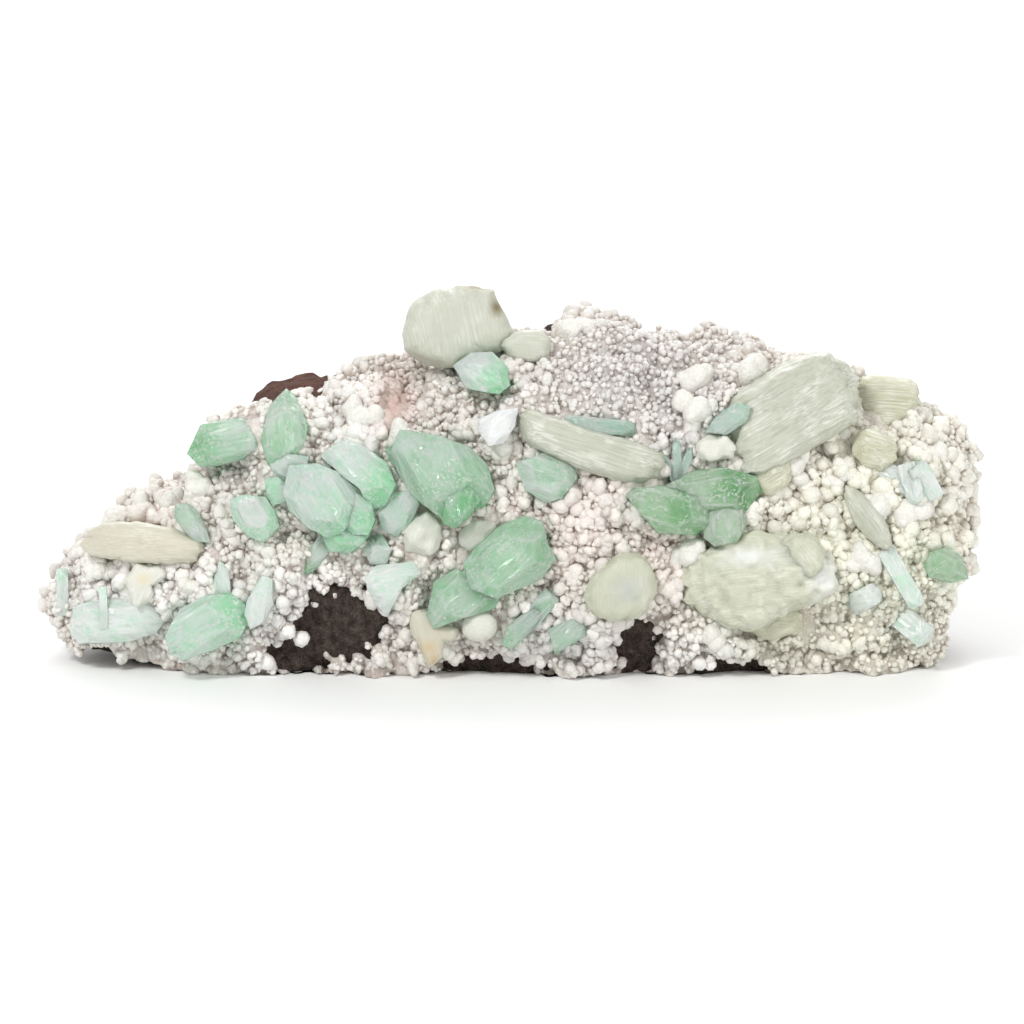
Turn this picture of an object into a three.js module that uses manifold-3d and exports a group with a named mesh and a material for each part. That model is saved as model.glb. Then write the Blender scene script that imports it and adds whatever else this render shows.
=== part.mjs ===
// A natural mineral specimen: green apophyllite and cream stilbite crystals on a white
// botryoidal crust, over a block of dark basalt that stands on the flat cut at its foot.
// Millimetres, +Z up. The display face looks towards -Y. Origin: middle of the foot.
import * as THREE from "three";
import { ConvexGeometry } from "three/addons/geometries/ConvexGeometry.js";
import { mergeVertices } from "three/addons/utils/BufferGeometryUtils.js";
import Module from "manifold-3d";

const wasm = await Module();
wasm.setup();

// ---------------------------------------------------------------- driving dimensions

const centreShift = new THREE.Vector2(0, 9.2); // puts the middle of the whole box at x = y = 0
const faceLean = THREE.MathUtils.degToRad(12); // the display plane leans back this far
const footY = -38; // where the display plane meets the ground
const seatGap = 0.3; // clearance between two pieces that touch
const crustThickness = 3.6;

// The basalt block along x: [x, underside z, ridge z, middle y, half depth].
// What lies below z = 0 is cut off flat at the ground.
const blockStations = [
  [-102, 9, 12, -14, 3],
  [-98, 6.5, 16, -13, 9],
  [-91, 3, 24, -12, 13],
  [-82, 0, 31.5, -11, 17],
  [-72, -3, 35, -9, 20],
  [-61, -6, 42, -7, 23],
  [-55, -7, 54, -7.5, 23.5],
  [-48, -8, 56, -6.5, 24.5],
  [-40, -8, 57.5, -5.5, 25.5],
  [-30, -8, 60, -4.5, 26.5],
  [-18, -8, 57.5, -3.5, 27.5],
  [-6, -8, 60, -3.5, 28.5],
  [2, -8, 64.5, -3.5, 29.5],
  [8, -8, 67, -3.5, 29.5],
  [20, -8, 70, -3.5, 29.5],
  [32, -8, 66, -3.5, 29.5],
  [44, -8, 65, -3.5, 28.5],
  [56, -8, 63.5, -3.5, 27.5],
  [68, -8, 59, -4.5, 25.5],
  [80, -7, 54.5, -5.5, 23.5],
  [88, -5, 52, -5, 23],
  [94, 1, 48.5, -6, 20],
  [97, 10, 46.5, -7, 16],
  [98.5, 20, 43, -8, 8],
];
const blockLean = 0.14; // mm back per mm up
const sectionPower = 3.2; // over 2 squares the oval section

// Bare windows in the crust, on the display plane: [across, up, half width, half height].
const windows = [
  [-37.5, 12.5, 9.5, 7.5],
  [-46.5, 5.3, 6.5, 4],
  [27.7, 7, 4.8, 6.5],
  [-4.6, 2.2, 11, 3],
  [48.2, 2, 8.4, 3],
];

// Where the rock's rim stands bare above the crust: [middle x, half width, degrees].
const bareRim = [-47, 19, 42];

// Larger white lumps that grew as part of the crust: [across, up, radius].
const lumps = [
  [-82, 37, 2.4], [-88, 35, 2], [-76, 39, 2.2], [-69, 42, 2.6], [-84, 21, 2.4],
  [-91, 24, 2.2], [-70, 20, 2], [-53, 28, 2.2], [-33, 57.5, 3], [-35, 51.5, 2.8],
  [-24, 53, 2.6], [-2, 51, 2.4], [13.6, 76.4, 3], [41, 65.5, 3], [40.5, 58.6, 3.4],
  [52.6, 67.3, 3], [62, 47, 3], [73, 45, 2.4], [80.9, 38.1, 2.6], [87.1, 36.9, 3.2],
  [92, 49, 2.6], [97, 41, 2.4], [76.8, 26.2, 2.6], [39.2, 28.2, 3.2], [18.6, 11.4, 1.6],
  [44, 10, 2.6], [-15, 6.5, 2.2], [7, 41, 2.2],
];

// ---------------------------------------------------------------- display plane

const acrossAxis = new THREE.Vector3(1, 0, 0);
const upAxis = new THREE.Vector3(0, Math.sin(faceLean), Math.cos(faceLean));
const outAxis = new THREE.Vector3(0, -Math.cos(faceLean), Math.sin(faceLean));

// How far up the display plane a point lies.
const upOf = (p) => (p.y - footY) * upAxis.y + p.z * upAxis.z;

// A point of space from its place across, up and out of the display plane.
const onPlane = (across, up, out = 0) =>
  new THREE.Vector3(0, footY, 0)
    .addScaledVector(acrossAxis, across)
    .addScaledVector(upAxis, up)
    .addScaledVector(outAxis, out);

// ---------------------------------------------------------------- noise

const hash = (i, j, k, seed) => {
  const s = Math.sin(i * 127.1 + j * 311.7 + k * 74.7 + seed * 53.3) * 43758.5453;
  return s - Math.floor(s);
};

// Height of packed balls at a point: one ball centre lies in each cube of a lattice.
function ballHeight(p, pitch, radius, seed) {
  const cell = [p.x, p.y, p.z].map((v) => Math.floor(v / pitch));
  let nearest = Infinity;
  for (let i = cell[0] - 1; i <= cell[0] + 1; i++)
    for (let j = cell[1] - 1; j <= cell[1] + 1; j++)
      for (let k = cell[2] - 1; k <= cell[2] + 1; k++) {
        const dx = (i + hash(i, j, k, seed)) * pitch - p.x;
        const dy = (j + hash(i, j, k, seed + 1)) * pitch - p.y;
        const dz = (k + hash(i, j, k, seed + 2)) * pitch - p.z;
        nearest = Math.min(nearest, Math.hypot(dx, dy, dz));
      }
  return Math.sqrt(Math.max(0, radius * radius - nearest * nearest));
}

// ---------------------------------------------------------------- solids

const solidOf = (geometry) => {
  const bare = geometry.clone();
  bare.deleteAttribute("normal");
  bare.deleteAttribute("uv");
  const merged = mergeVertices(bare, 1e-4);
  return new wasm.Manifold(
    new wasm.Mesh({
      numProp: 3,
      vertProperties: new Float32Array(merged.attributes.position.array),
      triVerts: new Uint32Array(merged.index.array),
    }),
  );
};

const geometryOf = (solid) => {
  const mesh = solid.getMesh();
  const geometry = new THREE.BufferGeometry()
    .setAttribute("position", new THREE.BufferAttribute(new Float32Array(mesh.vertProperties), 3))
    .setIndex(new THREE.BufferAttribute(new Uint32Array(mesh.triVerts), 1));
  const faceted = geometry.toNonIndexed();
  faceted.computeVertexNormals();
  return faceted;
};

const largestBody = (solid) =>
  solid.decompose().reduce((best, body) => (body.volume() > best.volume() ? body : best));

const joined = (solids) => solids.reduce((all, solid) => all.add(solid));

// ---------------------------------------------------------------- the block's surface

// Linear interpolation of one column of the stations at x.
function station(x, column) {
  const last = blockStations.length - 1;
  let i = 0;
  while (i < last - 1 && x > blockStations[i + 1][0]) i++;
  const [a, b] = [blockStations[i], blockStations[i + 1]];
  const f = THREE.MathUtils.clamp((x - a[0]) / (b[0] - a[0]), 0, 1);
  return a[column] * (1 - f) + b[column] * f;
}

// A point of the oval section at x. Angle 0 is the back, 90 the ridge, 180 the display face.
function blockPoint(x, degrees) {
  const angle = THREE.MathUtils.degToRad(degrees);
  const [under, ridge, midY, halfDepth] = [1, 2, 3, 4].map((column) => station(x, column));
  const power = (v) => Math.abs(v) ** sectionPower;
  const reach = (power(Math.cos(angle)) + power(Math.sin(angle))) ** (-1 / sectionPower);
  const rise = ((ridge - under) / 2) * reach * Math.sin(angle);
  return new THREE.Vector3(
    x,
    midY + halfDepth * reach * Math.cos(angle) + blockLean * rise,
    (ridge + under) / 2 + rise,
  );
}

// The outward direction of the block's surface there.
function blockNormal(x, degrees) {
  const step = 1;
  const round = blockPoint(x, degrees + step).sub(blockPoint(x, degrees - step));
  const along = blockPoint(x + step, degrees).sub(blockPoint(x - step, degrees));
  return new THREE.Vector3().crossVectors(round, along).normalize();
}

// Broken rock: shallow scoops with ridges between them, and a finer grain of the same.
const roughRock = (p) => 4.8 - 0.34 * ballHeight(p, 15, 13, 5) - 0.3 * ballHeight(p, 6, 5, 9);

// Crust thickness over the block: full on the face and ridge, below zero where it is bare.
function crustCover(p, x, degrees) {
  const ragged = 5 * Math.sin(x * 0.23) + 4 * Math.sin(x * 0.61 + 2);
  const [rimX, rimHalf, rimDegrees] = bareRim;
  const rim = rimDegrees * THREE.MathUtils.clamp(2 - 2 * Math.abs(x - rimX) / rimHalf, 0, 1);
  const overRidge = (degrees - (68 + ragged + rim)) / 14;
  const atFoot = (232 + ragged - degrees) / 10;
  let cover = crustThickness * THREE.MathUtils.clamp(Math.min(overRidge, atFoot), -1, 1);
  const up = upOf(p);
  for (const [across, height, halfWidth, halfHeight] of windows) {
    const wobble = 0.16 * Math.sin(x * 0.9 + up * 1.3) + 0.12 * Math.sin(x * 1.7 - up * 0.8);
    const reach = Math.hypot((x - across) / halfWidth, (up - height) / halfHeight) + wobble;
    cover = Math.min(cover, crustThickness * THREE.MathUtils.clamp((reach - 1) * 2.2, -1, 1));
  }
  return cover;
}

// The crust's lumpy outer surface, which dips into the rock where the rock is bare.
function crustOffset(p, x, degrees) {
  const cover = crustCover(p, x, degrees);
  const swell = THREE.MathUtils.clamp(cover / crustThickness, 0, 1);
  return roughRock(p) + cover + swell * (0.75 * ballHeight(p, 6.2, 4.4, 3) - 1.6);
}

// A closed tube of rings along x with fanned ends, whose spokes stand at the given angles.
// offset(p, x, degrees) moves each point out.
function blockGeometry(rings, angles, offset) {
  const [first, last] = [blockStations[0][0], blockStations.at(-1)[0]];
  const spokes = angles.length;
  const positions = [];
  const index = [];
  for (let i = 0; i <= rings; i++) {
    const x = THREE.MathUtils.lerp(first, last, i / rings);
    for (const degrees of angles) {
      const p = blockPoint(x, degrees);
      p.addScaledVector(blockNormal(x, degrees), offset(p, x, degrees));
      positions.push(p.x, p.y, p.z);
    }
  }
  for (let i = 0; i < rings; i++)
    for (let j = 0; j < spokes; j++) {
      const [a, b] = [i * spokes + j, i * spokes + ((j + 1) % spokes)];
      index.push(a, b, a + spokes, b, b + spokes, a + spokes);
    }
  for (const ring of [0, rings]) {
    const start = ring * spokes;
    const middle = new THREE.Vector3();
    for (let j = 0; j < spokes; j++)
      middle.add(new THREE.Vector3().fromArray(positions, (start + j) * 3));
    middle.divideScalar(spokes);
    const centre = positions.length / 3;
    positions.push(middle.x, middle.y, middle.z);
    for (let j = 0; j < spokes; j++) {
      const [a, b] = [start + j, start + ((j + 1) % spokes)];
      index.push(...(ring === 0 ? [centre, b, a] : [centre, a, b]));
    }
  }
  return new THREE.BufferGeometry()
    .setAttribute("position", new THREE.Float32BufferAttribute(positions, 3))
    .setIndex(index);
}

const ground = solidOf(new THREE.BoxGeometry(300, 200, 60).translate(0, 0, -30));
const rings = { crust: 36, rock: 20 };
const evenAngles = (from, step, count) => Array.from({ length: count }, (_, n) => from + n * step);
const rockAngles = evenAngles(0, 22.5, 16);
const crustAngles = [0, 30, 52, ...evenAngles(62, 10, 19), 260, 290, 325]; // close on the face
const crustSurface = blockGeometry(rings.crust, crustAngles, crustOffset);
const crustSocket = solidOf(
  blockGeometry(rings.crust, crustAngles, (...place) => crustOffset(...place) + seatGap),
);
const rockSolid = solidOf(blockGeometry(rings.rock, rockAngles, roughRock)).subtract(ground);
const rockSocket = solidOf(blockGeometry(rings.rock, rockAngles, (p) => roughRock(p) + seatGap));

// ---------------------------------------------------------------- seats on the crust

const surfaceMesh = new THREE.Mesh(crustSurface, new THREE.MeshBasicMaterial());
surfaceMesh.updateMatrixWorld(true);
const caster = new THREE.Raycaster();

// The point at a place of the display plane as deep as the crust's surface behind it.
// Over the ridge line it is as deep as the ridge below it.
function seatAt(across, up) {
  for (let below = 0; below < 15; below++) {
    caster.set(onPlane(across, up - below, 100), outAxis.clone().negate());
    const hits = caster.intersectObject(surfaceMesh);
    if (hits.length) return hits[0].point.addScaledVector(upAxis, below);
  }
  throw new Error(`no crust near ${across}, ${up}`);
}

// A frame whose z axis is turned round the display plane and lifted out of it, in degrees.
// Its x axis stays in the plane, across the z axis. sink moves it back along z, raise moves it out.
function seatFrame({ at, turn, lift = 0, roll = 0, sink = 0, raise = 0 }) {
  const [t, l] = [turn, lift].map(THREE.MathUtils.degToRad);
  const axis = new THREE.Vector3()
    .addScaledVector(acrossAxis, Math.cos(t) * Math.cos(l))
    .addScaledVector(upAxis, Math.sin(t) * Math.cos(l))
    .addScaledVector(outAxis, Math.sin(l));
  const side = new THREE.Vector3()
    .addScaledVector(acrossAxis, -Math.sin(t))
    .addScaledVector(upAxis, Math.cos(t));
  const third = new THREE.Vector3().crossVectors(axis, side);
  const origin = seatAt(...at).addScaledVector(axis, -sink).addScaledVector(outAxis, raise);
  return new THREE.Matrix4()
    .makeBasis(side, third, axis)
    .setPosition(origin)
    .multiply(new THREE.Matrix4().makeRotationZ(THREE.MathUtils.degToRad(roll)));
}

// ---------------------------------------------------------------- crystals on an outline

// A flat-faced crystal that lies on the crust, from its outline seen from the front, listed
// clockwise as [across, up]. Each level is [height over the seat, share of the outline, share of
// the shift]; slope tilts the whole crystal. at is the place whose depth it takes.
function outlineGeometry(crystal, levels, grow) {
  const { outline, raise = 0, shift = [0, 0], slope = [0, 0] } = crystal;
  const centre = [0, 1].map((k) => outline.reduce((sum, p) => sum + p[k], 0) / outline.length);
  const arms = outline.map((p) => [p[0] - centre[0], p[1] - centre[1]]);
  const radius = arms.reduce((sum, arm) => sum + Math.hypot(...arm), 0) / arms.length;
  const seat = seatAt(...(crystal.at ?? centre));
  const depth = seat.sub(onPlane(0, 0)).dot(outAxis) + raise;
  const corners = [];
  for (const [n, [height, share, moved]] of levels.entries()) {
    const out = height + (n === 0 ? -grow : n === levels.length - 1 ? grow : 0);
    for (const [a, u] of arms) {
      const reach = share + grow / radius;
      const tilt = (slope[0] * a + slope[1] * u) * share;
      corners.push(
        onPlane(
          centre[0] + shift[0] * moved + a * reach,
          centre[1] + shift[1] * moved + u * reach,
          depth + out + tilt,
        ),
      );
    }
  }
  return new ConvexGeometry(corners);
}

// ---------------------------------------------------------------- apophyllite

// Square prism with a four-sided pyramid turned 45 degrees to it, cut off by a blunt end face.
// point is the whole pyramid's height and blunt the share of it that stands.
function prismGeometry(crystal, grow) {
  const { half, length, point, blunt = 0.9 } = crystal;
  const shoulder = length - point * blunt + grow;
  const cut = 2 - 2 * blunt; // |x| + |y| of the end face, on a prism of half width 1
  const corners = [];
  for (const [x, y] of [[1, 1], [1, -1], [-1, 1], [-1, -1]]) {
    corners.push([x, y, -grow], [x, y, shoulder]);
    if (cut > 1)
      corners.push([x, y * (cut - 1), length + grow], [x * (cut - 1), y, length + grow]);
  }
  for (const [x, y] of [[1, 0], [-1, 0], [0, 1], [0, -1]])
    if (cut <= 1)
      corners.push([x, y, shoulder + point / 2], [x * cut, y * cut, length + grow]);
  const at = ([x, y, z]) => new THREE.Vector3(x * (half + grow), y * (half + grow), z);
  return new ConvexGeometry(corners.map(at)).applyMatrix4(seatFrame(crystal));
}

// A crystal with an outline has a steep wall, a bevel and a flat front face.
function apophylliteGeometry(crystal, grow) {
  if (!crystal.outline) return prismGeometry(crystal, grow);
  const { root = 5, height, face = 0.58 } = crystal;
  const shoulder = 0.5 + face / 2;
  const levels = [
    [-root, 0.86, 0],
    [height * 0.3, 1, 0],
    [height * 0.7, shoulder, 0.5],
    [height, face, 1],
  ];
  return outlineGeometry(crystal, levels, grow);
}

// ---------------------------------------------------------------- stilbite

// [place along it, share of its full section] for the rings of a sheaf with blunt ends.
const sheafRings = [[0, 0.7], [0.09, 0.97], [0.5, 1], [0.91, 0.97], [1, 0.7]];
const sheafSpokes = 6;

// A small sheaf of blades grown together: an oval tube whose half width and half depth go
// through a start, a middle and an end value.
function sheafGeometry({ length, widths, depths, ...place }, grow) {
  const through = ([a, b, c], s) =>
    a * (1 - s) * (1 - 2 * s) + b * 4 * s * (1 - s) + c * s * (2 * s - 1);
  const positions = [0, 0, -grow];
  for (const [s, share] of sheafRings)
    for (let j = 0; j < sheafSpokes; j++) {
      const angle = (j / sheafSpokes) * Math.PI * 2;
      positions.push(
        (through(widths, s) * share + grow) * Math.cos(angle),
        (through(depths, s) * share + grow) * Math.sin(angle) * 1.12,
        s * (length + 2 * grow) - grow,
      );
    }
  positions.push(0, 0, length + grow);
  const ringAt = (i, j) => 1 + i * sheafSpokes + (j % sheafSpokes);
  const [lastRing, tip] = [sheafRings.length - 1, positions.length / 3 - 1];
  const index = [];
  for (let j = 0; j < sheafSpokes; j++) {
    index.push(0, ringAt(0, j + 1), ringAt(0, j));
    index.push(tip, ringAt(lastRing, j), ringAt(lastRing, j + 1));
    for (let i = 0; i < lastRing; i++) {
      index.push(ringAt(i, j), ringAt(i, j + 1), ringAt(i + 1, j));
      index.push(ringAt(i, j + 1), ringAt(i + 1, j + 1), ringAt(i + 1, j));
    }
  }
  return new THREE.BufferGeometry()
    .setAttribute("position", new THREE.Float32BufferAttribute(positions, 3))
    .setIndex(index)
    .applyMatrix4(seatFrame(place));
}

// A sheaf with an outline swells like a pillow in flat facets.
function stilbiteGeometry(sheaf, grow) {
  if (!sheaf.outline) return sheafGeometry(sheaf, grow);
  const { root = 5, height } = sheaf;
  const levels = [
    [-root, 0.8, 0],
    [0, 1, 0],
    [height * 0.55, 0.93, 0],
    [height * 0.87, 0.74, 0],
    [height, 0.42, 0],
  ];
  return outlineGeometry(sheaf, levels, grow);
}

// ---------------------------------------------------------------- the crystals

// Each node is one crystal or a group grown together.
const apophyllites = {
  chisel_left: [
    {
      outline: [
        [-71.5, 49.5], [-68.5, 56], [-55, 58.5], [-54, 52.5],
        [-58.5, 48.5], [-63.5, 47], [-68.5, 46.5],
      ],
      at: [-58.5, 50], root: 9, height: 6, shift: [-0.6, 0.8], slope: [0.1, -0.1],
    },
  ],
  tall_left: [
    {
      outline: [
        [-49.5, 64], [-47.5, 62.5], [-44.5, 56], [-45, 52], [-47.5, 48],
        [-50.5, 46], [-53.5, 47], [-55, 52], [-54, 57.5], [-53, 60.5],
      ],
      root: 7, height: 6, face: 0.5, slope: [0.05, -0.25],
    },
  ],
  group_centre: [
    {
      outline: [
        [-48.5, 47], [-42, 47.5], [-36.5, 45], [-32.5, 41], [-34, 35],
        [-37, 32], [-40, 31], [-44, 33], [-48.5, 37], [-50, 41],
      ],
      height: 8.5, face: 0.62, slope: [0, -0.05],
    },
    {
      outline: [
        [-42, 49], [-37, 53], [-32.5, 51.5], [-27, 47.5], [-25, 42.5],
        [-27.5, 38], [-31, 37], [-33, 41.5], [-38, 45.5],
      ],
      height: 8, face: 0.5, shift: [0.8, 0.6], slope: [0.05, -0.12],
    },
    {
      outline: [[-42, 33], [-37, 33.5], [-33, 35], [-30.5, 32], [-32.5, 29.5], [-35.5, 27.5], [-40, 28]],
      height: 6.5, face: 0.45,
    },
    {
      outline: [
        [-54, 44], [-51, 44.5], [-48.5, 42.5],
        [-48.5, 39], [-52, 38], [-53.5, 40.5],
      ],
      height: 5.5, face: 0.45,
    },
    {
      outline: [[-26.5, 41], [-21, 41.5], [-20, 38.5], [-22, 34], [-25, 31], [-28.5, 33], [-29.5, 37]],
      height: 5.5, face: 0.45,
    },
  ],
  big_middle: [
    {
      outline: [
        [-24.5, 55], [-15.5, 53.5], [-9, 51], [-5, 47], [-3.5, 41.5], [-5.5, 38],
        [-9, 36.5], [-14, 34], [-21.5, 40], [-25, 45.5], [-26.5, 50],
      ],
      height: 9, face: 0.52, shift: [-0.5, 0.8], slope: [0.04, -0.12],
    },
    {
      outline: [
        [-14, 40], [-9, 42.5], [-6.5, 39.5],
        [-9, 35.5], [-12, 33], [-15, 34],
      ],
      height: 8.5, face: 0.4,
    },
    { outline: [[-27.5, 50.5], [-24.5, 52], [-22, 50], [-22, 46], [-26, 46.5]], height: 6, face: 0.4 },
  ],
  prism_ridge: [
    {
      outline: [[-7, 57], [-3, 59], [1.5, 59.5], [1, 55.5], [-1.5, 51.5], [-5, 51], [-7, 54]],
      height: 7, face: 0.6, shift: [1, 1.1], slope: [0.1, -0.1],
    },
  ],
  under_fan: [
    {
      outline: [[-13, 69], [-9, 72], [-4, 72], [-1, 69], [0, 64.5], [-2.5, 62.5], [-6.5, 63], [-10, 64]],
      at: [-3.5, 63.5], root: 9, height: 7, face: 0.45, shift: [0.6, 0], slope: [0.1, -0.3],
    },
  ],
  long_low: [
    {
      outline: [
        [-10.5, 25.5], [-7.5, 29.5], [-2, 34], [3, 36], [7, 34.5], [8, 30],
        [10, 26.5], [6.5, 22], [1, 19.5], [-3, 17.5], [-9, 20],
      ],
      height: 7, face: 0.55,
    },
    {
      outline: [
        [-18.5, 14], [-17, 21.5], [-12, 24.5], [-6.5, 22],
        [-2, 18.5], [-3.5, 15.5], [-12.5, 12.5], [-17, 11],
      ],
      height: 6.5, face: 0.45, shift: [0, 0.6],
    },
  ],
  barrel_left: [
    {
      outline: [
        [-76, 9.5], [-72.5, 15.5], [-67, 18.5], [-61.5, 19], [-58, 16.5],
        [-57.5, 12.5], [-59.5, 9], [-65, 6.5], [-72, 4], [-75, 5.5],
      ],
      height: 7, face: 0.55,
    },
  ],
  flat_left: [
    {
      outline: [
        [-97, 16], [-90.5, 17.5], [-85, 17.5], [-78.5, 16], [-76, 13],
        [-78, 10], [-84, 8], [-95.5, 7.5], [-97.5, 10],
      ],
      root: 7, height: 5.5, face: 0.68, slope: [0.15, 0],
    },
    { at: [-89.6, 13.5], turn: 92, lift: 4, half: 0.9, length: 7, point: 2, blunt: 0.6, raise: 4.6 },
  ],
  pair_right: [
    {
      outline: [
        [25, 40.5], [27, 42], [33, 42.5], [42, 39.5], [44.5, 36.5],
        [44, 34.5], [40.5, 31.5], [32, 32], [27.5, 37],
      ],
      height: 7, face: 0.5, shift: [-0.6, 0.6],
    },
    {
      outline: [
        [32.5, 42], [40.5, 46], [46.5, 46.5], [54, 44.5],
        [55, 41.5], [51.5, 37], [44.5, 36], [38, 38.5],
      ],
      height: 7.5, face: 0.5, shift: [0.8, 0.2], slope: [0.03, -0.05],
    },
    {
      outline: [
        [42, 38], [50.5, 38], [51.5, 33.5],
        [49.5, 30], [44.5, 29], [42, 31],
      ],
      height: 5, face: 0.6,
    },
  ],
  edge_right: [
    {
      outline: [[90.5, 25], [92, 28], [96, 29], [99, 27], [100.5, 22], [96.5, 21], [91.5, 22.5]],
      at: [93.5, 25], root: 7, height: 6, face: 0.5, slope: [-0.2, 0],
    },
  ],
  octagon_left: [
    {
      outline: [
        [-61.5, 39.5], [-58.5, 40.5], [-53.5, 40], [-51.5, 37],
        [-50.5, 33.5], [-54, 30], [-57.5, 31], [-61, 35],
      ],
      height: 6.5, face: 0.44, shift: [1.4, 0.3],
    },
  ],
  pale_right: [
    { at: [83, 45.5], turn: -40, lift: 20, half: 2, length: 8.5, point: 5, blunt: 0.7 },
    { at: [90.5, 43], turn: 120, lift: 25, half: 3, length: 6, point: 6, blunt: 0.5, sink: 1 },
    { at: [87.5, 44.5], turn: -75, lift: 20, half: 2, length: 6.5, point: 4, blunt: 0.7 },
  ],
  leaf_left: [
    {
      outline: [
        [-74, 38], [-71.5, 39], [-69, 37], [-67, 33.5],
        [-66, 30], [-69, 30], [-72.5, 33], [-74, 35.5],
      ],
      root: 6, height: 4.5, face: 0.4, slope: [0.2, -0.3],
    },
  ],
  splinter_edge: [{ at: [-99.4, 16.2], turn: 92, lift: 2, half: 1.4, length: 8, point: 3, blunt: 0.6 }],
  pale_under_blade: [
    {
      outline: [
        [1, 47.5], [7.5, 50], [14, 47.5], [14.5, 44],
        [11, 39.5], [7.5, 38.5], [3, 41.5],
      ],
      height: 4.5, face: 0.5,
    },
  ],
  pair_low: [
    {
      outline: [
        [-2, 7.5], [-1, 11.5], [3.5, 15.5], [7.5, 17.5],
        [8.5, 14.5], [5, 11], [1.5, 7.5], [0, 6.5],
      ],
      height: 4, face: 0.4,
    },
    { at: [5, 14], turn: 50, lift: 14, half: 2.2, length: 6.5, point: 5, blunt: 0.6 },
  ],
  small_low: [
    {
      outline: [[8, 11], [13.5, 13.5], [17.5, 13.5], [17, 10], [13, 7.5], [9.5, 5.5]],
      height: 3.5, face: 0.4,
    },
  ],
  frosted_low: [
    {
      outline: [
        [-32, 22.5], [-29.5, 25], [-21.5, 26], [-19.5, 23.5],
        [-23.5, 20], [-27, 14], [-30, 16.5], [-31.5, 20],
      ],
      height: 4.5, face: 0.5,
    },
  ],
  bead_centre: [
    { at: [-29.4, 28.4], turn: -60, lift: 66, half: 2.9, length: 5, point: 6, blunt: 0.5, sink: 1.5 },
  ],
  leaf_centre: [{ at: [-41.5, 29], turn: 238, lift: 8, half: 1.9, length: 7, point: 7 }],
  slender_left: [
    {
      outline: [
        [-57.5, 18], [-54.5, 23], [-52, 22], [-52, 16.5],
        [-54, 12.5], [-57, 11], [-58.5, 14],
      ],
      height: 4.5, face: 0.35,
    },
  ],
  pale_left: [{ at: [-63.2, 19], turn: 95, lift: 12, half: 1.7, length: 7, point: 5 }],
  teal_fragment: [
    {
      outline: [
        [42, 54], [44.5, 57.5], [49, 60.5],
        [52.5, 60], [51.5, 56.5], [47, 53.5],
      ],
      height: 5.5, face: 0.45,
    },
  ],
  slender_right: [{ at: [83.4, 26.2], turn: -60, lift: 8, half: 2, length: 12, point: 4, blunt: 0.7 }],
  block_right: [
    { at: [77.8, 17.8], turn: 30, lift: 60, half: 2.4, length: 4.6, point: 4, blunt: 0.4, sink: 1 },
  ],
  low_right: [
    { at: [88.6, 11.4], turn: -40, lift: 34, half: 2.8, length: 6, point: 5, blunt: 0.5, sink: 1.5 },
  ],
  thin_above_blade: [
    { at: [14.2, 56], turn: -5, half: 1.8, length: 13, point: 4, blunt: 0.7, raise: 0.8 },
  ],
  teal_needles: [
    { at: [36.4, 43.6], turn: 92, lift: 8, half: 1, length: 9.5, point: 3, raise: 0.6 },
    { at: [36.9, 43.6], turn: 70, lift: 6, half: 0.9, length: 8, point: 3, raise: 0.6 },
    { at: [35.9, 43.6], turn: 116, lift: 6, half: 0.9, length: 7.5, point: 3, raise: 0.6 },
  ],
};

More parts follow.
